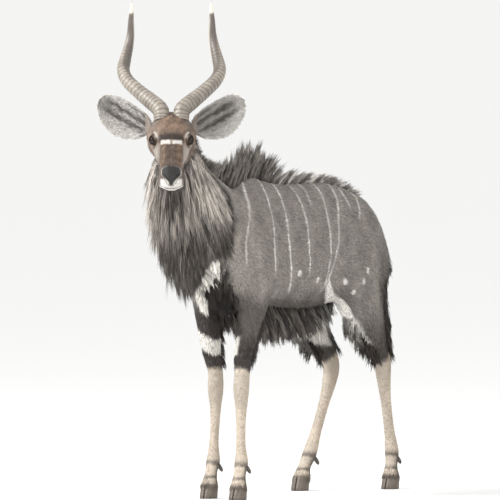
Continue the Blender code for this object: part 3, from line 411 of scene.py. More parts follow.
def spline(stations, places):
    """Catmull-Rom curve through the stations, read at places counted in stations."""
    rows = np.array(stations, dtype=float)
    padded = np.vstack([2 * rows[0] - rows[1], rows, 2 * rows[-1] - rows[-2]])
    first = np.clip(places.astype(int), 0, len(rows) - 2)
    t = (places - first)[:, None]
    a, b, c, d = (padded[first + k] for k in range(4))
    return 0.5 * (2 * b + (c - a) * t + (2 * a - 5 * b + 4 * c - d) * t**2 + (3 * b - a - 3 * c + d) * t**3)


def through(stations, count):
    """The curve through the stations at evenly spaced places."""
    return spline(stations, np.linspace(0, len(stations) - 1, count))


def head_point(local):
    """Points given along the face, to the left and out of the forehead, in the animal's frame."""
    local = np.asarray(local, dtype=float)
    return POLL + local[..., :1] * ALONG + local[..., 1:2] * LEFT + local[..., 2:3] * OUT


def head_local(points):
    """Along, left and out of points in the animal's frame."""
    offset = points - POLL
    return columns(offset @ ALONG, offset @ LEFT, offset @ OUT)


def level_point(side, height, back):
    """Points beside the head: to its left, absolute height, distance behind the poll."""
    flat = POLL + np.multiply.outer(side, LEFT) - np.multiply.outer(back, FACING)
    flat[..., 2] = height
    return flat


def cad_shift():
    """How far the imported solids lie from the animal's own frame, read from an eye."""
    low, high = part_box("eye_left")
    return (np.array(low) + np.array(high)) / 2 - head_point(EYE_PLACE)


SHIFT = cad_shift()


def ripple(points, size, seed):
    """Smooth noise from -1 to 1: a sum of sine waves in seeded directions, about `size` long."""
    rng = np.random.default_rng(seed)
    total = np.zeros(len(points))
    for scale in (1.0, 1.9, 3.3):
        ways = unit(rng.normal(size=(3, 3)))
        waves = np.sin(points @ ways.T * (2 * math.pi * scale / size) + rng.uniform(0, 7, 3))
        total += waves.sum(axis=1) / (3 * scale)
    return np.clip(total, -1, 1)


class Loft:
    """Oval sections square to a centre line, each with its own half width, front and back depth."""

    def __init__(self, rows, up_hint):
        self.centre = rows[:, :3]
        self.half = rows[:, 3]
        self.high = rows[:, 4]
        self.low = rows[:, -1]
        self.tangent = unit(np.gradient(self.centre, axis=0))
        self.side = unit(np.cross(self.tangent, up_hint))
        self.up = np.cross(self.side, self.tangent)

    def grid(self, around, pinch=0.0):
        """Point(row, turn) = centre + side * half * cos(turn) + up * depth * sin(turn)."""
        turn = np.linspace(0, 2 * math.pi, around, endpoint=False)
        high = np.sin(turn)
        ridge = 1 - np.reshape(pinch, (-1, 1)) * np.maximum(high, 0) ** 2
        rise = np.where(high > 0, self.high[:, None], self.low[:, None]) * high
        spread = self.half[:, None] * np.cos(turn) * ridge
        across = self.side[:, None] * spread[..., None]
        return self.centre[:, None] + across + self.up[:, None] * rise[..., None]

    def locate(self, points):
        """For each point: how far outside the loft it is, its place along it and its turn round it."""
        gap = points[:, None] - self.centre
        row = np.argmin((gap**2).sum(axis=-1), axis=1)
        offset = gap[np.arange(len(points)), row]
        x = (offset * self.side[row]).sum(axis=-1) / self.half[row]
        y = (offset * self.up[row]).sum(axis=-1)
        y = y / np.where(y > 0, self.high[row], self.low[row])
        ahead = (offset * self.tangent[row]).sum(axis=-1)
        last = (row == 0) | (row == len(self.half) - 1)
        outside = (np.hypot(x, y) - 1) * np.minimum(self.half[row], self.high[row])
        outside = outside + np.where(last, 2 * np.abs(ahead), 0)
        return outside, row / (len(self.half) - 1), np.arctan2(y, x)


@functools.lru_cache(maxsize=None)
def lofts():
    """The lofts of the trunk, neck, four legs and tail, by name, in a fixed order."""
    y, top, bottom, half, _ = through(TRUNK, 40).T
    middle = bottom + (top - bottom) * 0.46
    trunk = np.column_stack([0 * y, y, middle, half, top - middle, middle - bottom])
    found = {"trunk": Loft(trunk, (0, 0, 1)), "neck": Loft(through(NECK, 30), (0, 1, 0.4))}
    for name, stations in LEGS.items():
        found[name] = Loft(through(stations, 46), (0, -1, 0))
    found["tail"] = Loft(through(TAIL, 40), (1, 0, 0))
    return found


PARTS = ("trunk", "neck") + LEG_NAMES + ("tail",)
HEAD_PART = len(PARTS)
EAR_PART = HEAD_PART + 1


def locate(points):
    """For each point of the body, the part it lies on, its place along it and its turn round it."""
    points = points.astype(np.float32)
    best = np.full(len(points), np.inf)
    part = np.zeros(len(points), dtype=int)
    along = np.zeros(len(points))
    turn = np.zeros(len(points))
    for number, name in enumerate(PARTS):
        outside, place, angle = lofts()[name].locate(points)
        nearer = outside < best
        best = np.where(nearer, outside, best)
        part = np.where(nearer, number, part)
        along = np.where(nearer, place, along)
        turn = np.where(nearer, angle, turn)
    return part, along, turn


def grid_faces(rows, around):
    """Four-cornered faces of a grid that closes round on itself."""
    start = np.arange(rows - 1)[:, None] * around
    here = np.arange(around)[None]
    after = (here + 1) % around
    corners = (start + here, start + after, start + around + after, start + around + here)
    return columns(*corners).reshape(-1, 4)


def fan_faces(rows, around):
    """Triangles from the first and last ring to one point each, which follow the grid's points."""
    here = np.arange(around)
    after = (here + 1) % around
    last = (rows - 1) * around
    first_fan = columns(after, here, rows * around)
    return np.vstack([first_fan, columns(last + here, last + after, rows * around + 1)])


def closed(grid):
    """Points and faces of a grid of rings closed by a fan at each end, facing out."""
    rows, around = grid.shape[:2]
    points = np.vstack([grid.reshape(-1, 3), grid[0].mean(axis=0), grid[-1].mean(axis=0)])
    quads, fans = grid_faces(rows, around), fan_faces(rows, around)
    if volume(points, quads, fans) < 0:
        quads, fans = quads[:, ::-1], fans[:, ::-1]
    return points, [quads, fans]


def volume(points, quads, fans):
    """Six times the signed volume inside the faces, by the sum of corner triple products."""
    faces = np.vstack([quads[:, (0, 1, 2)], quads[:, (0, 2, 3)], fans])
    a, b, c = (points[faces[:, k]] for k in range(3))
    return (a * np.cross(b, c)).sum()


def new_piece(name, points, face_sets, smooth=True):
    """Put arrays of points and faces into a mesh object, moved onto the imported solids."""
    mesh = bpy.data.meshes.new(name)
    corners = np.concatenate([faces.ravel() for faces in face_sets])
    sizes = np.concatenate([np.full(len(faces), faces.shape[1]) for faces in face_sets])
    mesh.vertices.add(len(points))
    mesh.vertices.foreach_set("co", (points + SHIFT).astype(np.float32).ravel())
    mesh.loops.add(len(corners))
    mesh.loops.foreach_set("vertex_index", corners.astype(np.int32))
    mesh.polygons.add(len(sizes))
    mesh.polygons.foreach_set("loop_start", (np.cumsum(sizes) - sizes).astype(np.int32))
    mesh.update(calc_edges=True)
    if smooth:
        mesh.shade_smooth()
    item = bpy.data.objects.new(name, mesh)
    bpy.context.scene.collection.objects.link(item)
    return item


def read_rows(item, kind):
    """Three numbers for each point of a mesh object."""
    flat = np.empty(len(item.data.vertices) * 3)
    item.data.vertices.foreach_get(kind, flat)
    return flat.reshape(-1, 3)


def read_points(item):
    """A mesh object's points in the animal's own frame."""
    return read_rows(item, "co") - SHIFT


def write_points(item, points):
    """Move a mesh object's points."""
    item.data.vertices.foreach_set("co", (points + SHIFT).astype(np.float32).ravel())
    item.data.update()


def triangles(item):
    """A mesh object's faces as triangles."""
    item.data.calc_loop_triangles()
    flat = np.empty(len(item.data.loop_triangles) * 3, dtype=np.int32)
    item.data.loop_triangles.foreach_get("vertices", flat)
    return flat.reshape(-1, 3)


def give_colour(item, colours):
    """Store one colour per point, or the same colour at all of them, under the name Coat."""
    layer = item.data.attributes.new("Coat", "FLOAT_COLOR", "POINT")
    rgba = np.ones((len(item.data.vertices), 4), dtype=np.float32)
    rgba[:, :3] = colours
    layer.data.foreach_set("color", rgba.ravel())


def apply_modifiers(item):
    """Turn an object and its modifiers into a plain mesh."""
    graph = bpy.context.evaluated_depsgraph_get()
    graph.update()
    mesh = bpy.data.meshes.new_from_object(item.evaluated_get(graph))
    item.modifiers.clear()
    item.data = mesh
    return item


def combine(item, others, operation):
    """One Boolean of an object with others, which are then removed."""
    for other in others:
        step = item.modifiers.new("combine", "BOOLEAN")
        step.operation = operation
        step.solver = "MANIFOLD"
        step.object = other
        apply_modifiers(item)
        bpy.data.objects.remove(other, do_unlink=True)
    return item


def body_shell(sizes):
    """Trunk, neck and legs as one closed surface, blended where they meet."""
    trunk = lofts()["trunk"].grid(56, through(TRUNK, 40)[:, 4])
    trunk[:, :, 1] = lofts()["trunk"].centre[:, 1:2]
    shell = new_piece("nyala_skin", *closed(trunk))
    others = [new_piece("neck", *closed(lofts()["neck"].grid(48)))]
    others += [new_piece(name, *closed(lofts()[name].grid(36))) for name in LEG_NAMES]
    combine(shell, others, "UNION")
    remesh = shell.modifiers.new("remesh", "REMESH")
    remesh.mode = "VOXEL"
    remesh.voxel_size = sizes.voxel
    apply_modifiers(shell)
    smooth_shell(shell, 0.60, 60)
    points = read_points(shell)
    depth = sizes.coat_depth * (0.35 + 0.65 * ramp(0.40, 0.62, points[:, 2:3]))
    write_points(shell, points + muscles(points) - read_rows(shell, "normal") * depth)
    return shell


def smooth_shell(shell, level, rounds):
    """Relax the surface, fully above the level and hardly on the legs."""
    group = shell.vertex_groups.new(name="body")
    weights = np.clip((read_points(shell)[:, 2] - level) / 0.12, 0.15, 1)
    for step in np.unique(np.round(weights, 2)):
        members = np.flatnonzero(np.round(weights, 2) == step)
        group.add(members.tolist(), float(step), "REPLACE")
    smooth = shell.modifiers.new("smooth", "SMOOTH")
    smooth.vertex_group = "body"
    smooth.factor = 0.5
    smooth.iterations = rounds
    apply_modifiers(shell)


# Swellings and hollows under the coat: place y and z, reach along y and z, height
MUSCLES = (
    (-0.300, 0.930, 0.050, 0.100, 0.0050),
    (-0.215, 0.860, 0.030, 0.110, -0.0050),
    (-0.330, 0.760, 0.045, 0.050, 0.0050),
    (-0.235, 0.720, 0.030, 0.040, -0.0045),
    (0.150, 0.930, 0.060, 0.050, -0.0060),
    (0.120, 0.760, 0.040, 0.060, -0.0050),
    (0.300, 0.960, 0.050, 0.040, 0.0050),
    (0.330, 0.780, 0.070, 0.080, 0.0050),
    (0.430, 0.860, 0.035, 0.060, -0.0045),
)


def muscles(points):
    """Shallow hollows and swellings under the coat: shoulder blade, elbow, ribs, flank, haunch."""
    x, y, z = np.abs(points[:, 0]), points[:, 1], points[:, 2]
    push = np.zeros(len(points))
    for at_y, at_z, reach_y, reach_z, height in MUSCLES:
        push += height * bell(y - at_y, reach_y) * bell(z - at_z, reach_z)
    return columns(np.sign(points[:, 0]) * push * ramp(0.04, 0.09, x), 0, 0)


def denser(values, places, bumps, count):
    """Places spread so that they bunch where the bumps (value, reach, gain) ask for it."""
    weight = 1 + sum(gain * bell(values - at, reach) for at, reach, gain in bumps)
    total = np.concatenate([[0], np.cumsum(weight[1:] * np.abs(np.diff(values)))])
    return np.interp(np.linspace(0, total[-1], count), total, places)


def head_grid(rows=176, around=202, cap=14):
    """Rings of the head with its forms; turn 0 is the animal's left and a quarter turn is up."""
    fine = np.linspace(0, len(HEAD) - 1, 400)
    reach = spline(HEAD, fine)[:, 0]
    places = denser(reach, fine, ((0.100, 0.022, 1.6), (0.310, 0.030, 1.6)), rows)
    along, half, top, bottom, full = spline(HEAD, places).T
    wheel = np.linspace(-math.pi / 2, 1.5 * math.pi, 400)
    eyes_at = math.radians(28)
    turn = denser(wheel, wheel, ((eyes_at, 0.42, 1.4), (math.pi - eyes_at, 0.42, 1.4)), around + 1)[:-1]
    high = np.sin(turn)
    middle = (top + (bottom - top) * 0.42)[:, None]
    wide = half[:, None] * np.sign(np.cos(turn)) * np.abs(np.cos(turn)) ** 0.85
    wide = wide * np.where(high < 0, 1 - (0.42 - 0.30 * full[:, None]) * high * high, 1.0)
    rise = middle + np.where(high > 0, top[:, None] - middle, middle - bottom[:, None]) * high
    local = columns(along[:, None], wide, rise)
    centre = columns(along, 0, middle[:, 0])[:, None]
    local = np.concatenate([end_cap(local[0], -1, cap), local, end_cap(local[-1], 1, cap)])
    centre = np.concatenate([np.repeat(centre[:1], cap, 0), centre, np.repeat(centre[-1:], cap, 0)])
    return shape_face(local, centre)


def end_cap(ring, way, count):
    """Rings that shrink to a rounded end: size falls as a cosine while it moves out as a sine."""
    swing = np.linspace(0, math.radians(86), count + 1)[1:]
    if way < 0:
        swing = swing[::-1]
    middle = ring.mean(axis=0)
    rings = middle + (ring - middle) * np.cos(swing)[:, None, None]
    rings[..., 0] += way * 0.007 * np.sin(swing)[:, None]
    return rings


def shape_face(local, centre):
    """Raise and sink the named places, then set the chin back and press in the mouth and nose."""
    outward = unit((local - centre) * (0.25, 1, 1) + (0, 0, 1e-9))
    for s, w, r, reach, height in HEAD_FORMS + FACE_FOLDS:
        for side in (1, -1):
            far = np.linalg.norm(local - (s, side * w, r), axis=-1)
            local = local + outward * (height * bell(far, reach))[..., None]
    low = np.clip((-0.056 - local[..., 2]) / 0.022, 0, 1) * np.clip((local[..., 0] - 0.24) / 0.07, 0, 1)
    local[..., 0] -= CHIN_BACK * low
    return press_mouth(set_lids(local))


def eye_frame(side):
    """Centre of one eye, its line of sight, and the directions along and across its lids, locally."""
    along, out, rise = EYE_PLACE
    look = unit(np.array(EYE_LOOK) * (1, side, 1))
    across = unit((1.0, 0.0, 0.0) - look * look[0])
    up = np.cross(look, across) * side
    return np.array((along, side * out, rise)), look, across, up * np.sign(up[2])


def eye_local(local, side):
    """Places along one eye's lids, across them and out along its line of sight."""
    centre, look, across, up = eye_frame(side)
    offset = local - centre
    return offset @ across, offset @ up, offset @ look


def set_lids(local):
    """Round each eye the face follows a ball a lid's thickness over the eyeball, with a fold above."""
    ball = EYE_RADIUS + LID
    for side in (1, -1):
        x, y, z = eye_local(local, side)
        far = np.hypot(x, y)
        near = z > -0.25 * ball
        over = np.sqrt(np.maximum(ball**2 - np.minimum(far, 0.96 * ball) ** 2, 0))
        arch = np.hypot(x / 0.021, (y - 0.001) / 0.0165)
        fold = -0.0020 * bell(arch - 1.0, 0.10) * ramp(-0.002, 0.004, y)
        brow = 0.0028 * bell(arch - 1.32, 0.20) * ramp(0.0, 0.008, y)
        bag = -0.0014 * bell(arch - 1.05, 0.12) * ramp(0.002, -0.006, y)
        duct = -0.0024 * bell(y + 0.30 * (x - 0.016), 0.0020) * ramp(0.013, 0.019, x) * ramp(0.038, 0.028, x)
        push = (over - z) * ramp(1.30 * ball, 0.72 * ball, far) * near
        push = push + (fold + brow + bag + duct) * near * (far < 0.06)
        local = local + eye_frame(side)[1] * push[..., None]
    return local


def mouth_line(s, w):
    """Turn round the muzzle, share of the mouth's length, and the mouth's height there."""
    bend = np.arctan2(w, s - MOUTH_CENTRE)
    part = np.clip(np.abs(bend) / MOUTH_TURN, 0, 1.2)
    return bend, part, MOUTH_RISE[1] + (MOUTH_RISE[0] - MOUTH_RISE[1]) * part**2


def press_mouth(local):
    """A groove round the muzzle along the mouth, lips over and under it, and a dent in the upper lip."""
    s, w, r = np.moveaxis(local, -1, 0)
    bend, part, line = mouth_line(s, w)
    shown = ramp(1.02, 0.86, part) * ramp(0.20, 0.24, s)
    above = r - line
    groove = -0.0052 * bell(above, 0.0016) * (1 - 0.5 * part)
    lips = 0.0024 * bell(above - 0.0062, 0.0045) + 0.0020 * bell(above + 0.0058, 0.0040)
    dent = -0.0026 * bell(w, 0.0014) * ramp(0.300, 0.312, s)
    dent = dent * ramp(-0.046, -0.040, r) * ramp(-0.018, -0.026, r)
    wing = 0.0032 * bell(np.abs(w) - 0.0245, 0.0050) * bell(r + 0.030, 0.010) * ramp(0.290, 0.305, s)
    crown = -0.0018 * bell(w, 0.0060) * bell(s - 0.312, 0.010) * ramp(-0.022, -0.014, r)
    outward = columns(np.cos(bend), np.sin(bend), 0)
    return local + outward * ((groove + lips) * shown + dent + wing + crown)[..., None]


def lid_slit(side):
    """Leaf-shaped tunnel along the line of sight; its mouth is the opening of the lids."""
    centre, look, across, up = eye_frame(side)
    wide, over, under = EYE_OPEN
    turn = np.linspace(0, 2 * math.pi, 64, endpoint=False)
    x = wide * np.cos(turn)
    bend = np.abs(np.sin(turn)) ** 1.35
    y = np.where(np.sin(turn) > 0, over, -under) * bend - 0.10 * x
    far = np.array((0.004, 0.013, 0.017, 0.024, 0.045))[:, None, None]
    size = np.array((0.75, 0.96, 1.0, 1.12, 1.5))[:, None]
    local = centre + look * far + (size * x)[..., None] * across + (size * y)[..., None] * up
    return new_piece("slit", *closed(head_point(local)))


def eye_ball(side, radius, rows, around):
    """Rings round a ball in the place of one eye, from pole to pole along its line of sight."""
    centre, look, _, _ = eye_frame(side)
    turn = np.linspace(0, 2 * math.pi, around, endpoint=False)
    swing = np.linspace(0.02, math.pi - 0.02, rows)[:, None, None]
    pole = unit(ALONG * look[0] + LEFT * look[1] + OUT * look[2])
    side_way = unit(np.cross(pole, (0.0, 0.3, 1.0)))
    up = np.cross(pole, side_way)
    ring = np.cos(turn)[:, None] * side_way + np.sin(turn)[:, None] * up
    return head_point(centre) + radius * (np.cos(swing) * pole + np.sin(swing) * ring)


def nostril_pit(tree, side):
    """A comma-shaped pit: a tube just under the surface, wide in front and drawn out above."""
    path = through(NOSTRIL, 18)
    start = head_point((0.285, 0.0, -0.040))
    aims = head_point(path[:, :3] * (1, side, 1))
    runs = unit(aims - start)
    hits = [tree.ray_cast(Vector(start + SHIFT), Vector(run))[0] for run in runs]
    centre = np.array([hit[:] for hit in hits]) - SHIFT - runs * 0.0010
    radius = path[:, 3] * 1.05
    rows = np.column_stack([centre, radius, radius])
    return new_piece("pit", *closed(Loft(rows, ALONG).grid(20)))


def ear_grid(side, count=64, across=26):
    """A leaf bent into a cup: an outer and an inner sheet, thick at the root and thin at the rim."""
    part = np.sin(0.5 * math.pi * np.linspace(0, 1, count)) ** 1.15
    arch = np.sin(part * math.pi)
    front = np.array((0.0, 0.0, 1.0))
    middle = EAR_ROOT + (EAR_TIP - EAR_ROOT) * part[:, None] + front * (-0.014 * arch)[:, None]
    leaf = np.sqrt(np.maximum(1 - np.abs(1.97 * part - 0.97) ** 2.4, 0.012))
    curl = math.radians(60) + math.radians(160) * (1 - part) ** 1.2
    radius = EAR_WIDTH * leaf / np.sin(np.minimum(curl / 2, math.pi / 2))
    j = np.linspace(0, 1, across)
    turn = curl[:, None] * (j - 0.5)
    away = np.sin(turn)[..., None] * EAR_DOWN - np.cos(turn)[..., None] * front
    sag = (EAR_SAG * arch)[:, None] * np.maximum(0.3, np.sin(turn) + 0.5)
    outer = middle[:, None] + away * radius[:, None, None] + sag[..., None] * EAR_DOWN
    outer = outer + front * (0.72 * radius)[:, None, None]
    rim = np.sqrt(np.maximum(1 - (2 * j - 1) ** 6, 0.04))
    wall = EAR_WALL * (1.6 - 1.1 * part)[:, None] * rim
    folds = 0.0022 * np.cos(2 * math.pi * (3.2 * j + 0.15))[None] * np.sin(math.pi * j)[None]
    folds = folds * (ramp(0.06, 0.25, part) * ramp(0.95, 0.70, part))[:, None]
    inner = outer - away * (wall + 0.6 * np.maximum(folds, 0) + 0.0004)[..., None]
    ring = np.concatenate([outer, inner[:, ::-1]], axis=1)
    return level_point(side * ring[..., 0], POLL[2] + ring[..., 1], -ring[..., 2])


def make_head():
    """Head with open lids, eye sockets, nostrils and ears."""
    head = new_piece("head_shell", *closed(head_point(head_grid())))
    tree = BVHTree.FromObject(head, bpy.context.evaluated_depsgraph_get())
    cutters = [nostril_pit(tree, 1), nostril_pit(tree, -1)]
    for side in (1, -1):
        cutters.append(lid_slit(side))
        cutters.append(new_piece("socket", *closed(eye_ball(side, EYE_RADIUS + 0.0003, 40, 48))))
    combine(head, cutters, "DIFFERENCE")
    combine(head, [new_piece("ear", *closed(ear_grid(side))) for side in (1, -1)], "UNION")
    return head


def horn_grid(side, rows=240, around=44):
    """Round sections along the spiral, with a keel that turns and close rings across the face."""
    values = through(HORN, rows)
    centre = level_point(side * values[:, 0], values[:, 1], values[:, 2])
    tangent = unit(np.gradient(centre, axis=0))
    u = unit(np.cross(tangent, np.cross(LEFT * side, tangent)))
    v = np.cross(tangent, u)
    turn = np.linspace(0, 2 * math.pi, around, endpoint=False)
    part = np.linspace(0, 1, rows)[:, None]
    grooves, keel = horn_relief(side, part, turn)
    radius = values[:, 3:4] * (1 + 0.18 * keel * np.clip(1.15 - part, 0, 1) - 0.080 * grooves)
    across = u[:, None] * (radius * np.cos(turn))[..., None]
    return centre[:, None] + across + v[:, None] * (radius * np.sin(turn))[..., None]


def horn_relief(side, part, turn):
    """How deep the grooves between rings are and how near the keel is, at each place of a horn."""
    keel_at = side * math.radians(62) + side * part * math.radians(190)
    keel = np.maximum(0, np.cos(turn - keel_at)) ** 8
    wander = 0.9 * np.sin(part * 37) + 0.5 * np.sin(turn * 2 + part * 19) + 0.3 * np.sin(turn * 5 + part * 31)
    wave = np.abs(np.sin(part * HORN_RINGS * math.pi + 0.5 * wander))
    return (1 - wave) ** 2.2 * ramp(0.78, 0.52, part) * (1 - 0.7 * keel), keel


def horn_paint(side, rows, around, places):
    """Colour of a horn: dark grooves, painted shade on the side past the keel (the underside), pale keel,
    dusky upper part and ivory tip.
    """
    part = np.linspace(0, 1, rows)[:, None]
    turn = np.linspace(0, 2 * math.pi, around, endpoint=False)
    grooves, keel = (values.ravel() for values in horn_relief(side, part, turn))
    past_keel = (turn - side * (math.radians(62 + 58) + part * math.radians(190))).ravel()
    part = np.repeat(part[:, 0], around)
    return cover(
        np.outer(1 + 0.22 * ripple(places, 0.06, 41), tones()["horn"]),
        ("dark", 3.0, 0.90 * grooves),
        # Painted shade: the side of the horn past the keel is darkened.
        ("dark", 3.0, 0.70 * ramp(0.25, 0.70, np.cos(past_keel)) * ramp(0.90, 0.84, part)),
        ("ivory", 1, 0.55 * ramp(0.35, 0.85, keel) * ramp(0.88, 0.80, part)),
        ("dark", 3.5, 0.40 * ramp(0.60, 0.80, part) * ramp(0.90, 0.86, part)),
        ("ivory", 1, ramp(0.865, 0.90, part)),
        ("dark", 1, ramp(0.992, 0.999, part)))


def eye_grid(side, rows=56, around=64):
    """A ball with a slight bulge over the iris."""
    middle = head_point(eye_frame(side)[0])
    bulge = 1 + 0.030 * bell(np.linspace(0.02, math.pi - 0.02, rows), 0.60)
    return middle + (eye_ball(side, EYE_RADIUS, rows, around) - middle) * bulge[:, None, None]


def eye_colours(points, side):
    """Level oval pupil, brown iris with fine rays and a dark ring, dull edge outside it."""
    x, y, z = eye_local(head_local(points), side)
    far = np.hypot(x, y)
    spoke = np.arctan2(y, x)
    rays = 0.75 + 0.25 * np.sin(spoke * 38 + 2 * np.sin(spoke * 7))
    iris = np.outer(rays, (0.050, 0.026, 0.014)) * (1 - 0.65 * ramp(0.0085, 0.0110, far))[:, None]
    pupil = ramp(1.05, 0.85, np.hypot(x / 0.0066, y / 0.0046))[:, None]
    outer = np.clip(ramp(0.0108, 0.0122, far) + (z < 0), 0, 1)[:, None]
    colour = iris * (1 - pupil) + pupil * (0.004, 0.004, 0.005)
    return colour * (1 - outer) + outer * (0.060, 0.042, 0.034)


def foot_place(name):
    """Where the middle of a foot stands."""
    return np.array((*LEGS[name][-1][:2], 0.0))


def claw_grid(foot, side, rows=30, around=28, flat=12):
    """One claw: half an oval outside and a flat face inside, from the sole to the sloping coronet."""
    height = np.concatenate([[0.0], np.linspace(0.0, 1.0, rows - 1) ** 1.4])[:, None]
    turn = np.linspace(0, math.pi, around)
    reach = np.where(turn < math.pi / 2, CLAW_FRONT, CLAW_BACK)
    edge = np.concatenate([[0.93], 1 - 0.05 * (1 - height[1:, 0]) ** 10])[:, None]
    rings = 1 + 0.006 * np.sin(height * 34 + 0.6 * np.sin(turn * 3)) * ramp(0.05, 0.2, height)
    swell = edge * rings
    toe = 0.016 * height * (np.cos(turn) + 1) / 2
    ahead = reach * np.cos(turn) * (1 - 0.06 * height) * swell - toe
    wide = HOOF_SPLIT + CLAW_WIDE * np.maximum(np.sin(turn), 0) ** 0.8 * swell
    back = ahead[:, -1:] + (ahead[:, :1] - ahead[:, -1:]) * np.linspace(0, 1, flat + 2)[1:-1]
    inside = HOOF_SPLIT - 0.0006 * np.sin(np.linspace(0, math.pi, flat + 2)[1:-1]) + 0 * back
    ahead = np.concatenate([ahead, back], axis=1)
    wide = np.concatenate([wide, inside], axis=1)
    level = (HOOF_TOP + 0.0015 + HOOF_SLOPE * ahead) * height
    return np.stack([foot[0] + side * wide, foot[1] - ahead, level], axis=-1)


def dewclaw_grid(name, side):
    """One small false claw hanging behind the fetlock."""
    station = np.array(LEGS[name][12])
    root = station[:3] + (side * 0.011, station[5] - 0.012, -0.016)
    tip = root + (side * 0.004, 0.012 + DEWCLAW * 0.35, -DEWCLAW)
    part = np.linspace(0, 1, 14)
    radius = 0.0088 * np.sqrt(np.maximum(1 - part**2.6, 0.02)) * (0.85 + 0.15 * part)
    centre = root + (tip - root) * part[:, None] + np.outer(np.sin(part * math.pi), (0, 0.0015, 0.0))
    return Loft(np.column_stack([centre, radius * 0.85, radius]), (1, 0, 0)).grid(18)


# Coat


class Ground:
    """A surface as arrays of points, triangles and normals, on which hairs are rooted."""

    def __init__(self, item):
        self.points = read_points(item)
        self.normals = read_rows(item, "normal")
        self.faces = triangles(item)
        a, b, c = (self.points[self.faces[:, k]] for k in range(3))
        self.areas = np.linalg.norm(np.cross(b - a, c - a), axis=1) / 2
        self.middles = (a + b + c) / 3
        self.tree = BVHTree.FromPolygons(self.points.tolist(), self.faces.tolist())

    def draw(self, rng, count, weight):
        """Roots drawn by area and weight: place = corners mixed by two random shares."""
        odds = np.cumsum(self.areas * weight)
        picked = np.searchsorted(odds, rng.uniform(0, odds[-1], count))
        picked = np.minimum(picked, len(self.faces) - 1)
        u, v = rng.uniform(size=(2, count))
        over = u + v > 1
        u, v = np.where(over, 1 - u, u), np.where(over, 1 - v, v)
        share = np.stack([1 - u - v, u, v], axis=1)[..., None]
        corners = self.faces[picked]
        places = (self.points[corners] * share).sum(axis=1)
        return places, unit((self.normals[corners] * share).sum(axis=1))

    def above(self, places):
        """Height of places over the surface, less than zero inside it."""
        near, out = self.nearest(places)
        return dot(places - near, out)[:, 0]

    def nearest(self, places):
        """Nearest place on the surface, and the way out of it there."""
        found = [self.tree.find_nearest(Vector(place)) for place in places]
        return np.array([hit[0][:] for hit in found]), np.array([hit[1][:] for hit in found])


def blade_faces(steps):
    """Triangles of one blade with `steps` three-cornered sections and a point."""
    faces = [(2, 1, 0)]
    tip = 3 * steps
    for k in range(3):
        after = (k + 1) % 3
        for row in range(0, tip - 3, 3):
            faces += [(row + k, row + after, row + 3 + after), (row + k, row + 3 + after, row + 3 + k)]
        faces.append((tip - 3 + k, tip - 3 + after, tip))
    return np.array(faces)


def blade_points(path, outs, width, thick):
    """Section(step) = path + side * width * corner + flat * thick * corner; the last step is the tip."""
    steps = path.shape[1] - 1
    leg = np.diff(path, axis=1)
    run = unit(leg + np.concatenate([leg[:, :1], leg[:, :-1]], axis=1))
    side = unit(np.cross(run, outs[:, :steps]))
    flat = np.cross(side, run)
    corners = np.array(((-0.5, -0.35), (0.5, -0.35), (0.0, 0.65)))
    across = side[:, :, None] * (width[..., None] * corners[:, 0])[..., None]
    over = flat[:, :, None] * (thick[..., None] * corners[:, 1])[..., None]
    sections = path[:, :steps, None] + across + over
    return np.concatenate([sections.reshape(len(path), -1, 3), path[:, -1:]], axis=1)


def bake_map(part, along, turn):
    """Place on the unwrap: one cell of sixteen per part, across by turn and up by place along it."""
    column, row = part % 4, part // 4
    u = (column + 0.06 + 0.88 * (turn / (2 * math.pi) + 0.5) % 1.0) / 4
    v = (row + 0.06 + 0.88 * np.clip(along, 0, 1)) / 4
    return np.stack([u, v], axis=-1)


PATCH = 0.003


def coat_piece(name, path, outs, width, thick, root_colour, tip_colour, where, keep):
    """One object of many blades, coloured from root to tip, each with its own patch of OFBake."""
    path, outs, width, thick = path[keep], outs[keep], width[keep], thick[keep]
    root_colour, tip_colour = root_colour[keep], tip_colour[keep]
    count, steps = len(path), path.shape[1] - 1
    template = blade_faces(steps)
    points = blade_points(path, outs, width, thick)
    starts = np.arange(count)[:, None, None] * points.shape[1]
    item = new_piece(name, points.reshape(-1, 3), [(template + starts).reshape(-1, 3)])
    share = np.append(np.repeat(np.arange(steps) / steps, 3), 1.0)[None, :, None]
    colours = root_colour[:, None] * (1 - share) + tip_colour[:, None] * share
    give_colour(item, colours.reshape(-1, 3))
    across = np.append(np.tile((0.0, 1.0, 0.5), steps), 0.5)
    patch = np.stack([across, share[0, :, 0]], axis=-1) * PATCH
    places = bake_map(*(values[keep] for values in where))[:, None] + patch
    corners = (template + starts).ravel()
    layer = item.data.uv_layers.new(name="OFBake")
    layer.uv.foreach_set("vector", places.reshape(-1, 2)[corners].astype(np.float32).ravel())
    return item


def lay_along(direction, normal):
    """The part of a direction that lies in the surface."""
    return unit(direction - normal * dot(direction, normal))


def trunk_lie(places, normals):
    """Lie of the body's coat: back and down on the flank, down the shoulder, haunch and legs."""
    x, y, z = places.T
    down = 0.35 + 0.55 * ramp(-0.20, -0.36, y) + 0.60 * ramp(0.22, 0.42, y) + 0.9 * ramp(0.66, 0.54, z)
    back = 1.0 - 0.75 * ramp(0.66, 0.50, z) - 0.25 * ramp(0.25, 0.40, y)
    wander = 0.16 * ripple(places, 0.11, 3)
    way = np.stack([0.25 * np.sign(x) * ramp(0.9, 1.05, z) + wander, back, -down + wander], axis=-1)
    return lay_along(way, normals)


def sweep(rng, places, normals, lie, length, lift, steps, sink=0.0005, skew=0.10):
    """Short blades: path(t) = root + lie * length * t + out * (lift * t^1.5 - sink (1 - t)^2)."""
    count = len(places)
    way = lay_along(lie + rng.normal(0, skew, (count, 3)), normals)
    t = np.linspace(0, 1, steps + 1)[None, :, None]
    rise = lift[:, None, None] * t**1.5 - sink * (1 - t) ** 2
    path = places[:, None] + way[:, None] * (length[:, None, None] * t) + normals[:, None] * rise
    return path, np.repeat(normals[:, None], steps + 1, axis=1)


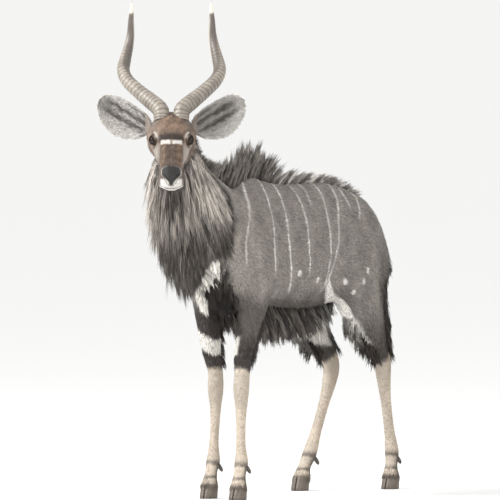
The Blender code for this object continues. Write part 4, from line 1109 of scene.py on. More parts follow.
def strand_guides(ground, rng, count, weight, way, reach, lift, droop, steps):
    """Guide hairs that lie on the surface, rise by lift * t^1.3, and droop once they hang free."""
    roots, normals = ground.draw(rng, count, weight)
    length = reach(roots) * rng.uniform(0.85, 1.12, count)
    height = lift(roots) * rng.uniform(0.15, 1.10, count)
    heading = unit(way(roots, normals) + rng.normal(0, 0.07, (count, 3)))
    place = roots.copy()
    path = [roots - normals * 0.004]
    outs = [normals]
    for k in range(1, steps + 1):
        t = k / steps
        place = place + heading * (length / steps)[:, None]
        near, out = ground.nearest(place)
        above = dot(place - near, out)[:, 0]
        want = 0.002 + height * t**1.3
        pressed = (above < want) & (np.linalg.norm(place - near, axis=1) < 0.2)
        free = unit(heading + np.array((0, 0, -1.0)) * (droop(roots) / steps)[:, None] * 3)
        place = np.where(pressed[:, None], near + out * want[:, None], place)
        heading = np.where(pressed[:, None], heading, free)
        out = np.where(pressed[:, None], out, outs[-1])
        path.append(place.copy())
        outs.append(out)
    return roots, np.stack(path, axis=1), np.stack(outs, axis=1)


def strands(ground, rng, count, weight, guides, clump, stray):
    """Hairs that follow their nearest guide and draw in towards it by clump * t."""
    guide_roots, guide_paths, guide_outs = guides
    roots, normals = ground.draw(rng, count, weight)
    owner = nearest_row(roots, guide_roots)
    steps = guide_paths.shape[1] - 1
    t = np.linspace(0, 1, steps + 1)
    share = rng.uniform(0.70, 1.04, count)[:, None] * t
    place = np.clip(share * steps, 0, steps - 1e-6)
    first = place.astype(int)
    mix = (share * steps - first)[..., None]
    rows = owner[:, None]
    path = guide_paths[rows, first] * (1 - mix) + guide_paths[rows, first + 1] * mix
    outs = unit(guide_outs[rows, first] * (1 - mix) + guide_outs[rows, first + 1] * mix)
    offset = (roots - guide_roots[owner])[:, None]
    drift = rng.normal(0, stray, (count, 1, 3)) * t[None, :, None] ** 1.5
    wave = rng.normal(0, stray * 0.5, (count, 1, 3)) * np.sin(t * 2.6 * math.pi)[None, :, None]
    path = path + offset * (1 - clump * t[None, :, None] ** 0.8) + drift + wave
    path[:, 0] = roots - normals * 0.004
    return roots, owner, path, outs


def nearest_row(places, targets):
    """Index of the nearest target of each place."""
    found = np.empty(len(places), dtype=int)
    for start in range(0, len(places), 4000):
        block = places[start:start + 4000, None] - targets
        found[start:start + 4000] = np.argmin((block**2).sum(axis=-1), axis=1)
    return found


# Markings


def tones():
    """The colours set in the sidebar, by name."""
    settings = bpy.context.scene.nyala_colours
    names = ("slate", "dark", "white", "tan", "rufous", "horn", "ivory", "hoof")
    return {name: np.array(getattr(settings, name)[:3]) for name in names}


def toward(colour, other, share):
    """Colours moved toward another by a share from 0 to 1 at each point."""
    share = np.asarray(share)[:, None]
    return colour * (1 - share) + other * share


def cover(colour, *layers):
    """Colours moved in turn toward tones, each given with its brightness and its share."""
    for name, gain, share in layers:
        colour = toward(colour, tones()[name] * gain, share)
    return colour


def oval(a, b, reach_a, reach_b):
    """1 inside an oval about zero and 0 outside it."""
    return 1 - ramp(0.80, 1.15, np.hypot(a / reach_a, b / reach_b))


def past_mane(places):
    """How far places lie past the mane: behind its back edge, or under its low edge."""
    x, y, z = places[..., 0], places[..., 1], places[..., 2]
    behind = y - read_table(MANE_EDGE, z) - 0.010 * np.sin(z * 95) * np.sin(z * 41)
    return np.maximum(behind, read_table(MANE_END, x) - z)


def stripe_share(places, spread=1.0):
    """White of the flank's stripes: near to y(z), a curve through three named places."""
    y, z = places[:, 1], places[:, 2]
    share = np.zeros(len(places))
    for top, middle, low, strength in STRIPES:
        line = through((low, middle, top), 24)
        at = np.interp(z, line[:, 1], line[:, 0])
        slope = np.interp(z, line[:, 1], np.gradient(line[:, 0], line[:, 1]))
        far = np.abs(y - at) / np.hypot(1, slope) + 0.0014 * ripple(places, 0.05, 11)
        inside = 1 - ramp(0.36 * STRIPE_WIDTH * spread, 0.58 * STRIPE_WIDTH * spread, far)
        inside = inside * ramp(low[1] - 0.012, low[1] + 0.015, z)
        share = np.maximum(share, inside * strength)
    return share


def spot_share(places):
    """White of the spots on the low flank and thigh."""
    share = np.zeros(len(places))
    for y, z, reach_y, reach_z in SPOTS:
        share = np.maximum(share, oval(places[:, 1] - y, places[:, 2] - z, reach_y, reach_z))
    return share * ramp(0.03, 0.06, np.abs(places[:, 0]))


def chest_share(places):
    """Dark hair of the chest, fading sideways into the shoulders."""
    x, y, z = places.T
    far = np.abs(x) - read_table(CHEST_DARK, z) + 0.010 * ripple(places, 0.03, 63)
    return ramp(-0.38, -0.43, y) * ramp(0.86, 0.82, z) * ramp(0.012, -0.014, far)


def body_paint(places, where):
    """Colour of the short coat: slate with stripes and spots, dark underside that is partly painted shade,
    painted light on the front and painted shade on the rump, pale banded legs.
    """
    part, _, turn = where
    x, y, z = places.T
    tone = tones()
    mottle = ripple(places, 0.10, 5)
    colour = np.outer(1 + 0.16 * mottle, tone["slate"])
    # Painted light: the coat is made up to 14 % lighter toward the shoulders and chest, on the front of the
    # body.
    colour = colour * (1 + 0.14 * ramp(-0.28, -0.40, y))[:, None]
    # Darker low on the body: partly the coat's own dark underside, partly painted shade under the belly.
    low = ramp(0.715, 0.640, z + 0.012 * mottle) * ramp(0.30, 0.16, y)
    colour = toward(colour, tone["dark"] * 2.2, 0.70 * low)
    # Painted shade: darker over the lower rear of the rump.
    colour = toward(colour, tone["dark"] * 3, 0.45 * ramp(0.400, 0.520, y) * ramp(0.95, 0.80, z))
    colour = toward(colour, tone["dark"] * 1.5, 0.9 * chest_share(places))
    colour = toward(colour, tone["dark"] * 1.8, 0.9 * (part == PARTS.index("tail")))
    neck = (part == 1)
    covered = neck * ramp(0.040, -0.015, past_mane(places)) * (z < 1.18)
    colour = toward(colour, tone["dark"] * 2.2, 0.75 * covered)
    white = np.maximum(stripe_share(places) * (1 - covered), spot_share(places))
    colour = toward(colour, tone["white"], white)
    colour = paint_legs(colour, places, part, mottle)
    return np.clip(colour, 0.004, 0.9)


def paint_legs(colour, places, part, mottle):
    """Dark above the knee and hock, tan shanks, white bands and patches, dark pasterns."""
    x, y, z = places.T
    tone = tones()
    for number, name in enumerate(LEG_NAMES):
        loft = lofts()[name]
        mine = (part == number + 2) | (z < 0.60)
        mine = mine & (np.sign(x) == (1 if "left" in name else -1)) & ((y < 0.05) == ("fore" in name))
        axis_x = np.interp(z, loft.centre[::-1, 2], loft.centre[::-1, 0])
        axis_y = np.interp(z, loft.centre[::-1, 2], loft.centre[::-1, 1])
        inward = -np.sign(axis_x) * (x - axis_x) / 0.03
        ahead = -(y - axis_y) / 0.03
        if "fore" in name:
            edge = 0.432 + 0.010 * ahead + 0.006 * mottle
            high = 0.10 if name == "fore_right" else 0.0
            dark = ramp(0.57 + high, 0.50 + high, z + 0.012 * mottle - 0.06 * ramp(-0.2, 0.8, inward))
            level = 0.524 - 0.016 * inward + 0.008 * mottle
            reach = -1.1 if name == "fore_right" else 0.05
            band = oval(z - level, 0 * z, 0.028, 1.0) * ramp(reach, reach + 0.35, inward + 0.12 * ahead)
        else:
            edge = 0.448 - 0.016 * ahead + 0.008 * mottle
            rear = ramp(-1.0, -2.4, ahead) * ramp(0.86, 0.66, z)
            dark = np.maximum(0.80 * ramp(0.64, 0.50, z), 0.80 * rear)
            band = oval(z - 0.535, 0 * z, 0.050, 1.0) * ramp(-0.1, 0.5, inward + 0.25 * ahead)
            band = band * ramp(-1.2, -0.2, ahead)
        painted = toward(colour, tone["dark"] * 2.0, 0.9 * dark)
        painted = toward(painted, tone["white"], band)
        shank = toward(tone["tan"], tone["white"], 0.22 + 0.25 * ramp(-1, 1, ahead))
        # The shank is darkened behind its middle as painted shade on the back of the lower leg; the mottle is
        # its own uneven tone.
        shank = shank * (1 + 0.12 * mottle - 0.20 * ramp(0.0, -0.8, ahead))[:, None]
        knee = oval(z - (0.372 if "fore" in name else 0.440), 0 * z, 0.060, 1.0)
        shank = toward(shank, tone["slate"], 0.35 * knee * (0.6 + 0.4 * mottle))
        shank = toward(shank, tone["dark"] * 2, pastern_share(z, ahead, inward))
        painted = toward(painted, shank, ramp(edge + 0.008, edge - 0.008, z))
        colour = np.where(mine[:, None], painted, colour)
    return toward(colour, tone["white"], thigh_stripe(places))


def thigh_stripe(places):
    """White of the stripe down the front edge of the thigh."""
    x, y, z = places.T
    line_z = np.interp(y, (0.070, 0.095, 0.186, 0.257, 0.330), (0.725, 0.696, 0.636, 0.566, 0.492))
    share = ramp(0.017, 0.010, np.abs(z - line_z) * 0.72) * ramp(0.066, 0.090, y) * ramp(0.325, 0.300, y)
    return share * (np.abs(x) > 0.078)


def pastern_share(z, ahead, inward):
    """Dark hair over the hoof and behind the fetlock, round a pale spot in front."""
    patch = ramp(0.140, 0.118, z) * ramp(0.035, 0.05, z)
    spot = oval(z - 0.098, inward * 0.012, 0.020, 0.014) * ramp(0.0, 0.4, ahead)
    spot_low = oval(z - 0.064, inward * 0.016, 0.008, 0.020) * ramp(0.0, 0.4, ahead)
    return 0.80 * patch * (1 - np.maximum(spot, spot_low))


def face_paint(points):
    """Colour of the head, by place along the face, to the side, out of it and by height."""
    local = head_local(points)
    s, w, r = local.T
    side = np.abs(w)
    height = points[:, 2] - POLL[2]
    tone = tones()
    mottle = ripple(local, 0.030, 21)
    colour = np.outer(1 + 0.35 * mottle, tone["rufous"])
    cheek = ramp(0.030, 0.048, side) * ramp(0.10, 0.15, s)
    colour = toward(colour, tone["slate"] * 2.1, 0.80 * cheek)
    jaw = ramp(0.030, 0.055, side) * ramp(0.11, 0.02, s)
    colour = toward(colour, tone["slate"] * 1.5, 0.6 * jaw)
    bridge = (1 - ramp(0.014, 0.027, side)) * ramp(0.140, 0.160, s) * (1 - ramp(0.262, 0.275, s))
    streak = 0.5 + 0.5 * np.sin(w * 900 + 2.0 * np.sin(s * 60) + 3 * mottle)
    colour = toward(colour, tone["dark"] * 2.8, (0.42 + 0.30 * streak) * bridge)
    band = ramp(0.088, 0.104, s) * (1 - ramp(0.120, 0.132, s)) * (1 - ramp(0.036, 0.046, side))
    colour = toward(colour, tone["dark"] * 1.5, 0.85 * band)
    line = 1 - ramp(0.0016, 0.0040, np.abs(side - 0.034 - 0.10 * (s - 0.150)))
    line = line * ramp(0.140, 0.160, s) * (1 - ramp(0.225, 0.245, s))
    colour = toward(colour, tone["dark"] * 2.5, 0.45 * line)
    throat = ramp(-0.085, -0.125, r)
    colour = toward(colour, tone["dark"] * 2.0, 0.7 * throat)
    colour = paint_eyes(colour, local, tone)
    bar = 1 - ramp(0.75, 1.10, np.abs(s - 0.1395 + 0.30 * side) / 0.0108)
    bar = bar * ramp(0.0020, 0.0040, side) * (1 - ramp(0.0335, 0.0375, side)) * (r > -0.05)
    colour = toward(colour, tone["white"], bar)
    return paint_muzzle(colour, s, side, r, height, tone)


def paint_eyes(colour, local, tone):
    """Dark rims and tear line, a pale tuft over each eye and pale hair under it."""
    for side in (1, -1):
        x, y, z = eye_local(local, side)
        near = z > -0.004
        over = oval(x + 0.002, y - 0.0205, 0.0150, 0.0042) * near
        under = oval(x - 0.002, y + 0.0190, 0.0150, 0.0050) * near
        inner = oval(x - 0.030, y + 0.002 + 0.35 * (x - 0.020), 0.013, 0.0030) * near
        colour = toward(colour, tone["white"] * 0.85, np.maximum(0.85 * over, 0.45 * under))
        colour = toward(colour, tone["white"] * 0.60, 0.8 * inner)
        rim = oval(x, y + 0.10 * x, 0.0195, np.where(y > 0, 0.0150, 0.0118)) * near
        duct = oval(x - 0.0200, y + 0.0040 + 0.4 * (x - 0.020), 0.0080, 0.0026) * near
        colour = toward(colour, tone["dark"] * 0.7, np.maximum(rim, duct))
    return colour


def nose_share(s, side, height):
    """The bare nose: a heart seen from in front, wide over the nostrils and narrow at the lip."""
    levels = (-0.226, -0.216, -0.206, -0.194, -0.180, -0.170, -0.164)
    widths = (0.0040, 0.0085, 0.0180, 0.0300, 0.0320, 0.0270, 0.0120)
    half = np.interp(height, levels, widths, left=-1.0, right=-1.0)
    return (1 - ramp(-0.0012, 0.0012, side - half)) * (s > 0.24)


def paint_muzzle(colour, s, side, r, height, tone):
    """Black nose in a pale line, white lips and chin, dark line of the mouth."""
    front = ramp(0.240, 0.262, s)
    muzzle = front * ramp(-0.150, -0.160, height)
    colour = toward(colour, tone["dark"] * 2.6, 0.55 * muzzle)
    rim = nose_share(s, side - 0.0034, height) * front
    colour = toward(colour, tone["white"] * 0.6, 0.75 * rim)
    lip = front * ramp(-0.200, -0.212, height) * ramp(0.006, 0.013, side) * (1 - ramp(0.034, 0.039, side))
    colour = toward(colour, tone["white"], lip)
    chin = ramp(0.255, 0.275, s) * ramp(-0.226, -0.232, height)
    colour = toward(colour, tone["white"], chin)
    colour = toward(colour, tone["dark"] * 0.45, nose_share(s, side, height))
    _, part, line = mouth_line(s, side)
    mouth = (1 - ramp(0.0010, 0.0024, np.abs(r - line))) * (part < 0.98) * (s > 0.21)
    return toward(colour, tone["dark"] * 0.6, mouth)


def ear_local(points):
    """Share of the way to the ear's tip, and place across the ear in shares of its width."""
    offset = points - POLL
    flat = columns(np.abs(offset @ LEFT), offset[:, 2], offset @ FACING) - EAR_ROOT
    return flat @ EAR_LINE / np.linalg.norm(EAR_TIP - EAR_ROOT), flat @ EAR_DOWN / EAR_WIDTH


def ear_paint(points, inside):
    """Grey-brown back; inside, dark hollows between pale folds and a pale rim."""
    along, across = ear_local(points)
    tone = tones()
    mottle = ripple(points, 0.030, 31)
    back = np.outer(1 + 0.25 * mottle, 0.45 * tone["rufous"] + 0.50 * tone["slate"])
    fold = 0.5 + 0.5 * np.sin(11.5 * across * (1.30 - 0.60 * along) + 1.2 + 1.1 * mottle)
    deep = np.hypot((along - 0.38) / 0.60, (across + 0.16 - 0.25 * along) / 0.92)
    # Painted shade: the inside of the cup darkens toward its deep hollow, less on the folds.
    hollow = ramp(1.05, 0.50, deep)
    cup = np.outer(1 + 0.12 * mottle, tone["white"] * 0.66)
    cup = toward(cup, tone["dark"] * 3.0, hollow * (0.90 - 0.60 * fold))
    return np.where(inside[:, None], cup, back)


# Materials


# Roughness, scale, stretch upward and detail of the noise, darkest and lightest share, bump and its depth
SURFACES = {
    "hair": (0.60, 160.0, 1.0, 3.0, 0.80, 1.20, 0.0, 0.0),
    "skin": (0.62, 420.0, 0.35, 4.0, 0.72, 1.28, 0.55, 0.0008),
    "horn": (0.42, 190.0, 0.30, 5.0, 0.70, 1.30, 0.45, 0.0015),
    "hoof": (0.42, 260.0, 0.10, 4.0, 0.35, 1.90, 0.35, 0.0010),
    "eye": (0.06, 1.0, 1.0, 0.0, 1.00, 1.00, 0.0, 0.0),
}
REFLECTION = {"hair": 0.28, "eye": 0.35}


def add_node(tree, kind, inputs):
    """A shader node whose inputs are numbers or other nodes' outputs."""
    made = tree.nodes.new(kind)
    for name, value in inputs.items():
        if isinstance(value, bpy.types.NodeSocket):
            tree.links.new(value, made.inputs[name])
        else:
            made.inputs[name].default_value = value
    return made


def stored(tree, name):
    """The attribute of the points under a name."""
    source = tree.nodes.new("ShaderNodeAttribute")
    source.attribute_name = name
    return source


@functools.lru_cache(maxsize=None)
def material(name):
    """Material with the colour of the points, made uneven by noise in shade and in height."""
    roughness, scale, stretch, detail, low, high, strength, depth = SURFACES[name]
    made = bpy.data.materials.new(name)
    made.use_nodes = True
    tree = made.node_tree
    shader = tree.nodes["Principled BSDF"]
    shader.inputs["Roughness"].default_value = roughness
    if name in REFLECTION:
        shader.inputs["Specular IOR Level"].default_value = REFLECTION[name]
    place = tree.nodes.new("ShaderNodeTexCoord").outputs["Object"]
    mapping = add_node(tree, "ShaderNodeMapping", {"Vector": place, "Scale": (1.0, 1.0, stretch)})
    noise = add_node(tree, "ShaderNodeTexNoise",
                     {"Vector": mapping.outputs["Vector"], "Scale": scale, "Detail": detail}).outputs["Fac"]
    span = add_node(tree, "ShaderNodeMapRange", {"Value": noise, "To Min": low, "To Max": high})
    colour = add_node(tree, "ShaderNodeVectorMath", {0: stored(tree, "Coat").outputs["Color"]})
    colour.operation = "SCALE"
    tree.links.new(span.outputs["Result"], colour.inputs["Scale"])
    tree.links.new(colour.outputs["Vector"], shader.inputs["Base Color"])
    if strength:
        height = bare_skin(tree, shader, noise, place) if name == "skin" else noise
        bump = add_node(tree, "ShaderNodeBump", {"Strength": strength, "Distance": depth, "Height": height})
        tree.links.new(bump.outputs["Normal"], shader.inputs["Normal"])
    return made


def bare_skin(tree, shader, noise, place):
    """Smooth wet pebbles in place of the streaks where the skin is bare; returns the height."""
    bare = stored(tree, "Bare").outputs["Fac"]
    shine = add_node(tree, "ShaderNodeMapRange", {"Value": bare, "To Min": 0.62, "To Max": 0.42})
    tree.links.new(shine.outputs["Result"], shader.inputs["Roughness"])
    pebbles = add_node(tree, "ShaderNodeTexVoronoi", {"Vector": place, "Scale": 520.0})
    height = add_node(tree, "ShaderNodeMix", {0: bare, 2: noise, 3: pebbles.outputs["Distance"]})
    height.data_type = "FLOAT"
    return height.outputs[0]


def finish_piece(item, surface, nodes=()):
    """Give a piece its material and slot, let it ride on the root, and hide the solids it stands for."""
    item.data.materials.clear()
    item.data.materials.append(material(surface))
    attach(item, "root")
    if nodes:
        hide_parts(*nodes)


GROUNDS = {}
LEG_TUFTS = 34000


def face_where(points):
    """Part, place along and turn of points on the head, for the unwrap."""
    s, w, r = head_local(points).T
    return np.full(len(points), HEAD_PART), (s + 0.05) / 0.39, np.arctan2(r + 0.06, w)


def ear_where(points):
    """Part, place along and turn of points on the ears, for the unwrap."""
    along, across = ear_local(points)
    side = (points - POLL) @ LEFT
    part = np.where(side > 0, EAR_PART, EAR_PART + 1)
    return part, along, np.clip(across, -1, 1) * math.pi * 0.9


def skin_paint(points, normals):
    """Colour of every point of the skin, by the part that it belongs to, then darkened all over as painted
    shade under the coat.
    """
    colour = body_paint(points, locate(points))
    side = np.abs(head_local(points)[:, 1])
    headed = GROUNDS["head_loft"].locate(points.astype(np.float32))[0] < 0.012
    headed = headed | (np.abs(GROUNDS["head"].above(points)) < 0.0005)
    colour = np.where(headed[:, None], face_paint(points), colour)
    eared = (side > 0.086) & (points[:, 2] > POLL[2] - 0.12) & (points[:, 1] < -0.52)
    colour = np.where(eared[:, None], ear_paint(points, normals @ FACING > 0.15), colour)
    # Painted shade: the whole skin is darkened to 0.70, so that it reads as shadow in the gaps between hairs.
    return colour * 0.70


def head_loft():
    """The head as a loft, to tell its points from the neck's."""
    along, half, top, bottom, _ = through(HEAD, 40).T
    middle = (top + bottom) / 2
    centre = head_point(np.stack([along, 0 * along, middle], axis=-1))
    return Loft(np.column_stack([centre, half, top - middle, middle - bottom]), np.cross(ALONG, LEFT))


class NYALA_OT_skin(bpy.types.Operator):
    """One skin over trunk, neck, head, ears, legs and tail"""

    bl_idname = "nyala.skin"
    bl_label = "Skin"

    def execute(self, context):
        sizes = context.scene.nyala_sizes
        GROUNDS["head_loft"] = head_loft()
        shell = body_shell(sizes)
        tail = new_piece("tail_core", *closed(lofts()["tail"].grid(20)))
        GROUNDS["body"] = Ground(shell)
        GROUNDS["tail"] = Ground(tail)
        head = make_head()
        GROUNDS["head"] = Ground(head)
        combine(shell, [head, tail], "UNION")
        points, normals = read_points(shell), read_rows(shell, "normal")
        shell.data.shade_smooth()
        give_colour(shell, skin_paint(points, normals))
        local = head_local(points)
        bare = nose_share(local[:, 0], np.abs(local[:, 1]), points[:, 2] - POLL[2])
        layer = shell.data.attributes.new("Bare", "FLOAT", "POINT")
        layer.data.foreach_set("value", bare.astype(np.float32))
        flesh = ["head", "neck", "trunk", "tail", "ear_left", "ear_right"]
        for name in LEG_NAMES:
            flesh += [f"{name}_upper_leg", f"{name}_lower_leg"]
        finish_piece(shell, "skin", flesh)
        return {"FINISHED"}


class NYALA_OT_eyes(bpy.types.Operator):
    """Two wet dark eyes"""

    bl_idname = "nyala.eyes"
    bl_label = "Eyes"

    def execute(self, context):
        for label, side in SIDES:
            item = new_piece(f"nyala_eye_{label}", *closed(eye_grid(side)))
            give_colour(item, eye_colours(read_points(item), side))
            finish_piece(item, "eye", [f"eye_{label}"])
        return {"FINISHED"}


class NYALA_OT_horns(bpy.types.Operator):
    """Two ringed spiral horns with ivory tips"""

    bl_idname = "nyala.horns"
    bl_label = "Horns"

    def execute(self, context):
        for label, side in SIDES:
            grid = horn_grid(side)
            rows, around = grid.shape[:2]
            points, faces = closed(grid)
            item = new_piece(f"nyala_horn_{label}", points, faces)
            colour = horn_paint(side, rows, around, points[:rows * around])
            give_colour(item, np.vstack([colour, colour[:1], colour[-1:]]))
            finish_piece(item, "horn", [f"horn_{label}"])
        return {"FINISHED"}


class NYALA_OT_hooves(bpy.types.Operator):
    """Two claws and two dewclaws on each foot"""

    bl_idname = "nyala.hooves"
    bl_label = "Hooves"

    def execute(self, context):
        tone = tones()
        for name in LEG_NAMES:
            for label, side in SIDES:
                item = new_piece(f"nyala_{name}_claw_{label}", *closed(claw_grid(foot_place(name), side)))
                high = ramp(0.0, 0.012, read_points(item)[:, 2])
                give_colour(item, toward(tone["hoof"], tone["tan"] * 0.6, 0.12 * high))
                finish_piece(item, "hoof", [f"{name}_hoof_{label}"])
                item = new_piece(f"nyala_{name}_dewclaw_{label}", *closed(dewclaw_grid(name, side)))
                give_colour(item, tone["hoof"])
                finish_piece(item, "hoof", [f"{name}_dewclaw_{label}"])
        return {"FINISHED"}


def outside_head(places):
    """Whether places on the body lie clear of the head."""
    clear = (places[:, 2] < 0.98) | (places[:, 1] > -0.45)
    near = np.flatnonzero(~clear)
    clear[near] = GROUNDS["head"].above(places[near]) > -0.0005
    return clear


class NYALA_OT_short_coat(bpy.types.Operator):
    """Short coat of the trunk, thighs and legs as small blades lying flat"""

    bl_idname = "nyala.short_coat"
    bl_label = "Short Coat"

    def execute(self, context):
        sizes = context.scene.nyala_sizes
        rng = np.random.default_rng(101)
        ground = GROUNDS["body"]
        z = ground.middles[:, 2]
        neck = locate(ground.middles)[0] == 1
        bare = neck & (past_mane(ground.middles) > -0.03)
        weight = np.where(neck & ~bare, 0.35, 1.0) * ramp(0.42, 0.50, z)
        places, normals = ground.draw(rng, sizes.trunk_tufts, weight)
        where = locate(places)
        count = len(places)
        striped = np.maximum(stripe_share(places, 3.0), spot_share(places))
        length = sizes.short_length * rng.uniform(0.75, 1.25, count) * (1 - 0.50 * striped)
        lift = 0.0032 * rng.uniform(0.2, 1.3, count) * (1 - 0.4 * striped)
        path, outs = sweep(rng, places, normals, trunk_lie(places, normals), length, lift, 1)
        width = (sizes.short_width * rng.uniform(0.7, 1.3, count) * (1 - 0.35 * striped))[:, None]
        thick = 0.0008 * np.ones((count, 1))
        middle = (path[:, 0] + path[:, 1]) / 2
        colour = body_paint(middle, where) * rng.uniform(0.66, 1.42, (count, 1))
        clear = outside_head(places)
        halves = {"left": places[:, 0] > 0, "right": places[:, 0] <= 0}
        for label, side in halves.items():
            for end, keep in (("fore", places[:, 1] < 0.02), ("rear", places[:, 1] >= 0.02)):
                # Tufts darker at the root and lighter at the tip: painted shade low in the coat and painted
                # light on the tips.
                item = coat_piece(f"nyala_short_coat_{end}_{label}", path, outs, width, thick,
                                  colour * 0.96, colour * 1.32, where, side & keep & clear)
                finish_piece(item, "hair")
        self.legs(rng, ground)
        return {"FINISHED"}

    def legs(self, rng, ground):
        """Finer blades down the shanks, longer where they hang over the hooves."""
        z = ground.middles[:, 2]
        over_hoof = ramp(0.066, 0.052, z)
        weight = ramp(0.50, 0.42, z) * ramp(0.040, 0.044, z) * (1 + 3 * over_hoof)
        places, normals = ground.draw(rng, LEG_TUFTS, weight)
        where = locate(places)
        count = len(places)
        coronet = ramp(0.075, 0.050, places[:, 2])
        length = (0.0090 + 0.011 * coronet) * rng.uniform(0.75, 1.25, count)
        lift = (0.0012 + 0.006 * coronet) * rng.uniform(0.2, 1.3, count)
        lie = lay_along(np.array((0.0, 0.18, -1.0)) + 0 * places, normals)
        path, outs = sweep(rng, places, normals, lie, length, lift, 1)
        path[:, :, 2] = np.maximum(path[:, :, 2], 0.004)
        width = (0.0019 * rng.uniform(0.7, 1.3, count))[:, None]
        thick = 0.0007 * np.ones((count, 1))
        colour = body_paint(places, where) * rng.uniform(0.86, 1.16, (count, 1))
        for end, keep in (("fore", places[:, 1] < 0.0), ("hind", places[:, 1] >= 0.0)):
            # Tufts darker at the root and lighter at the tip: painted shade low in the coat and painted light
            # on the tips.
            item = coat_piece(f"nyala_leg_coat_{end}", path, outs, width, thick,
                              colour * 0.90, colour * 1.12, where, keep)
            finish_piece(item, "hair")


def face_lie(places, normals):
    """Hair of the face: down the bridge to the nose, up over the forehead, back along the cheeks."""
    s, w, r = head_local(places).T
    nose = ramp(0.060, 0.120, s) + 0.45 * ripple(places, 0.004, 77)
    cheek = ramp(0.030, 0.055, np.abs(w)) * ramp(-0.02, -0.05, r)
    along = np.where(nose > 0.5, 1.0, -1.0) * (1 - cheek) - 0.8 * cheek
    way = np.outer(along, ALONG) + np.outer(0.55 * np.sign(w) * (0.3 + cheek), LEFT)
    way = way - np.outer(0.9 * cheek, UP)
    return lay_along(way, normals)


class NYALA_OT_face_coat(bpy.types.Operator):
    """Fine hair of the face, lashes, and the hair in and on the ears"""

    bl_idname = "nyala.face_coat"
    bl_label = "Face Coat"

    def execute(self, context):
        rng = np.random.default_rng(202)
        ground = GROUNDS["head"]
        middles = ground.middles
        local = head_local(middles)
        side = np.abs(local[:, 1])
        ear = side > 0.084
        bare = nose_share(local[:, 0], side, middles[:, 2] - POLL[2]) > 0.2
        hidden = GROUNDS["body"].above(middles) < -0.0005
        weight = (~ear) * (~bare) * (~hidden) * (1 - self.eye_share(local))
        self.face(rng, ground, weight)
        self.ears(rng, ground, ear)
        self.lashes(rng)
        return {"FINISHED"}

    def eye_share(self, local):
        """Where the lids open and hair keeps away."""
        share = np.zeros(len(local))
        for side in (1, -1):
            x, y, z = eye_local(local, side)
            share = np.maximum(share, oval(x, y, 0.0170, 0.0100) * (z > -0.020))
        return share

    def face(self, rng, ground, weight):
        """Blades of a few millimetres, shortest toward the nose."""
        places, normals = ground.draw(rng, 40000, weight)
        count = len(places)
        s = head_local(places)[:, 0]
        fine = 1 - 0.45 * ramp(0.20, 0.29, s)
        length = 0.0080 * fine * rng.uniform(0.7, 1.25, count)
        lift = 0.0015 * fine * rng.uniform(0.2, 1.3, count)
        path, outs = sweep(rng, places, normals, face_lie(places, normals), length, lift, 1)
        width = (0.0015 * fine * rng.uniform(0.7, 1.3, count))[:, None]
        thick = 0.0006 * np.ones((count, 1))
        colour = face_paint(places) * rng.uniform(0.75, 1.25, (count, 1))
        # Blades darker at the root and lighter at the tip: painted shade low in the coat and painted light on
        # the tips.
        item = coat_piece("nyala_face_coat", path, outs, width, thick, colour * 0.92, colour * 1.28,
                          face_where(places), np.ones(count, dtype=bool))
        finish_piece(item, "hair")

    def ears(self, rng, ground, weight):
        """Long pale hair fanning out inside the cup; short hair on the back and the rim."""
        places, normals = ground.draw(rng, 12500, weight)
        count = len(places)
        along, across = ear_local(places)
        inside = normals @ FACING > 0.15
        side = np.sign((places - POLL) @ LEFT)
        outward = np.outer(side * EAR_LINE[0], LEFT) + EAR_LINE[1] * UP + EAR_LINE[2] * FACING
        fan = outward + np.outer(-0.5 * across, UP)
        length = np.where(inside, 0.026 * (1 - 0.5 * np.clip(along, 0, 1)), 0.010)
        length = length * rng.uniform(0.7, 1.2, count)
        length = length * (1 - 0.45 * np.maximum(ramp(0.60, 0.90, np.abs(across)), ramp(0.80, 0.95, along)))
        lift = np.where(inside, 0.0045, 0.0015) * rng.uniform(0.2, 1.2, count)
        path, outs = sweep(rng, places, normals, lay_along(fan, normals), length, lift, 2)
        width = np.where(inside, 0.0018, 0.0022) * rng.uniform(0.7, 1.3, count)
        width = width[:, None] * np.array((0.75, 1.0))
        thick = 0.0006 * np.ones((count, 2))
        colour = ear_paint(places, inside) * rng.uniform(0.72, 1.25, (count, 1))
        # Hairs darker at the root and lighter at the tip: painted shade low in the coat and painted light on
        # the tips.
        item = coat_piece("nyala_ear_coat", path, outs, width, thick, colour * 0.80, colour * 1.12,
                          ear_where(places), np.ones(count, dtype=bool))
        finish_piece(item, "hair")

    def lashes(self, rng):
        """Dark lashes along both upper lids, bent up and out."""
        for label, side in SIDES:
            centre, look, across, up = eye_frame(side)
            count = 90
            x = EYE_OPEN[0] * rng.uniform(-0.85, 0.80, count)
            y = EYE_OPEN[1] * np.sqrt(np.maximum(1 - (x / EYE_OPEN[0]) ** 2, 0)) ** 1.35 - 0.10 * x
            z = np.sqrt(np.maximum((EYE_RADIUS + LID) ** 2 - x**2 - y**2, 0))
            root = centre + np.outer(x, across) + np.outer(y + 0.0006, up) + np.outer(z - 0.0006, look)
            length = 0.0085 * rng.uniform(0.6, 1.1, count)
            way = look * 0.9 + np.outer(x * 22, across) - up * 0.10 + rng.normal(0, 0.08, (count, 3))
            t = np.linspace(0, 1, 4)[None, :, None]
            path = root[:, None] + unit(way)[:, None] * (length[:, None, None] * t)
            path = head_point(path + up * (length[:, None, None] * 0.45 * t**2))
            outs = np.broadcast_to(OUT, path.shape)
            width = 0.0008 * np.ones((count, 3))
            colour = np.repeat(tones()["dark"][None] * 0.6, count, 0)
            places = head_point(root)
            item = coat_piece(f"nyala_lashes_{label}", path, outs, width, width * 0.7, colour, colour,
                              face_where(places), np.ones(count, dtype=bool))
            finish_piece(item, "hair")


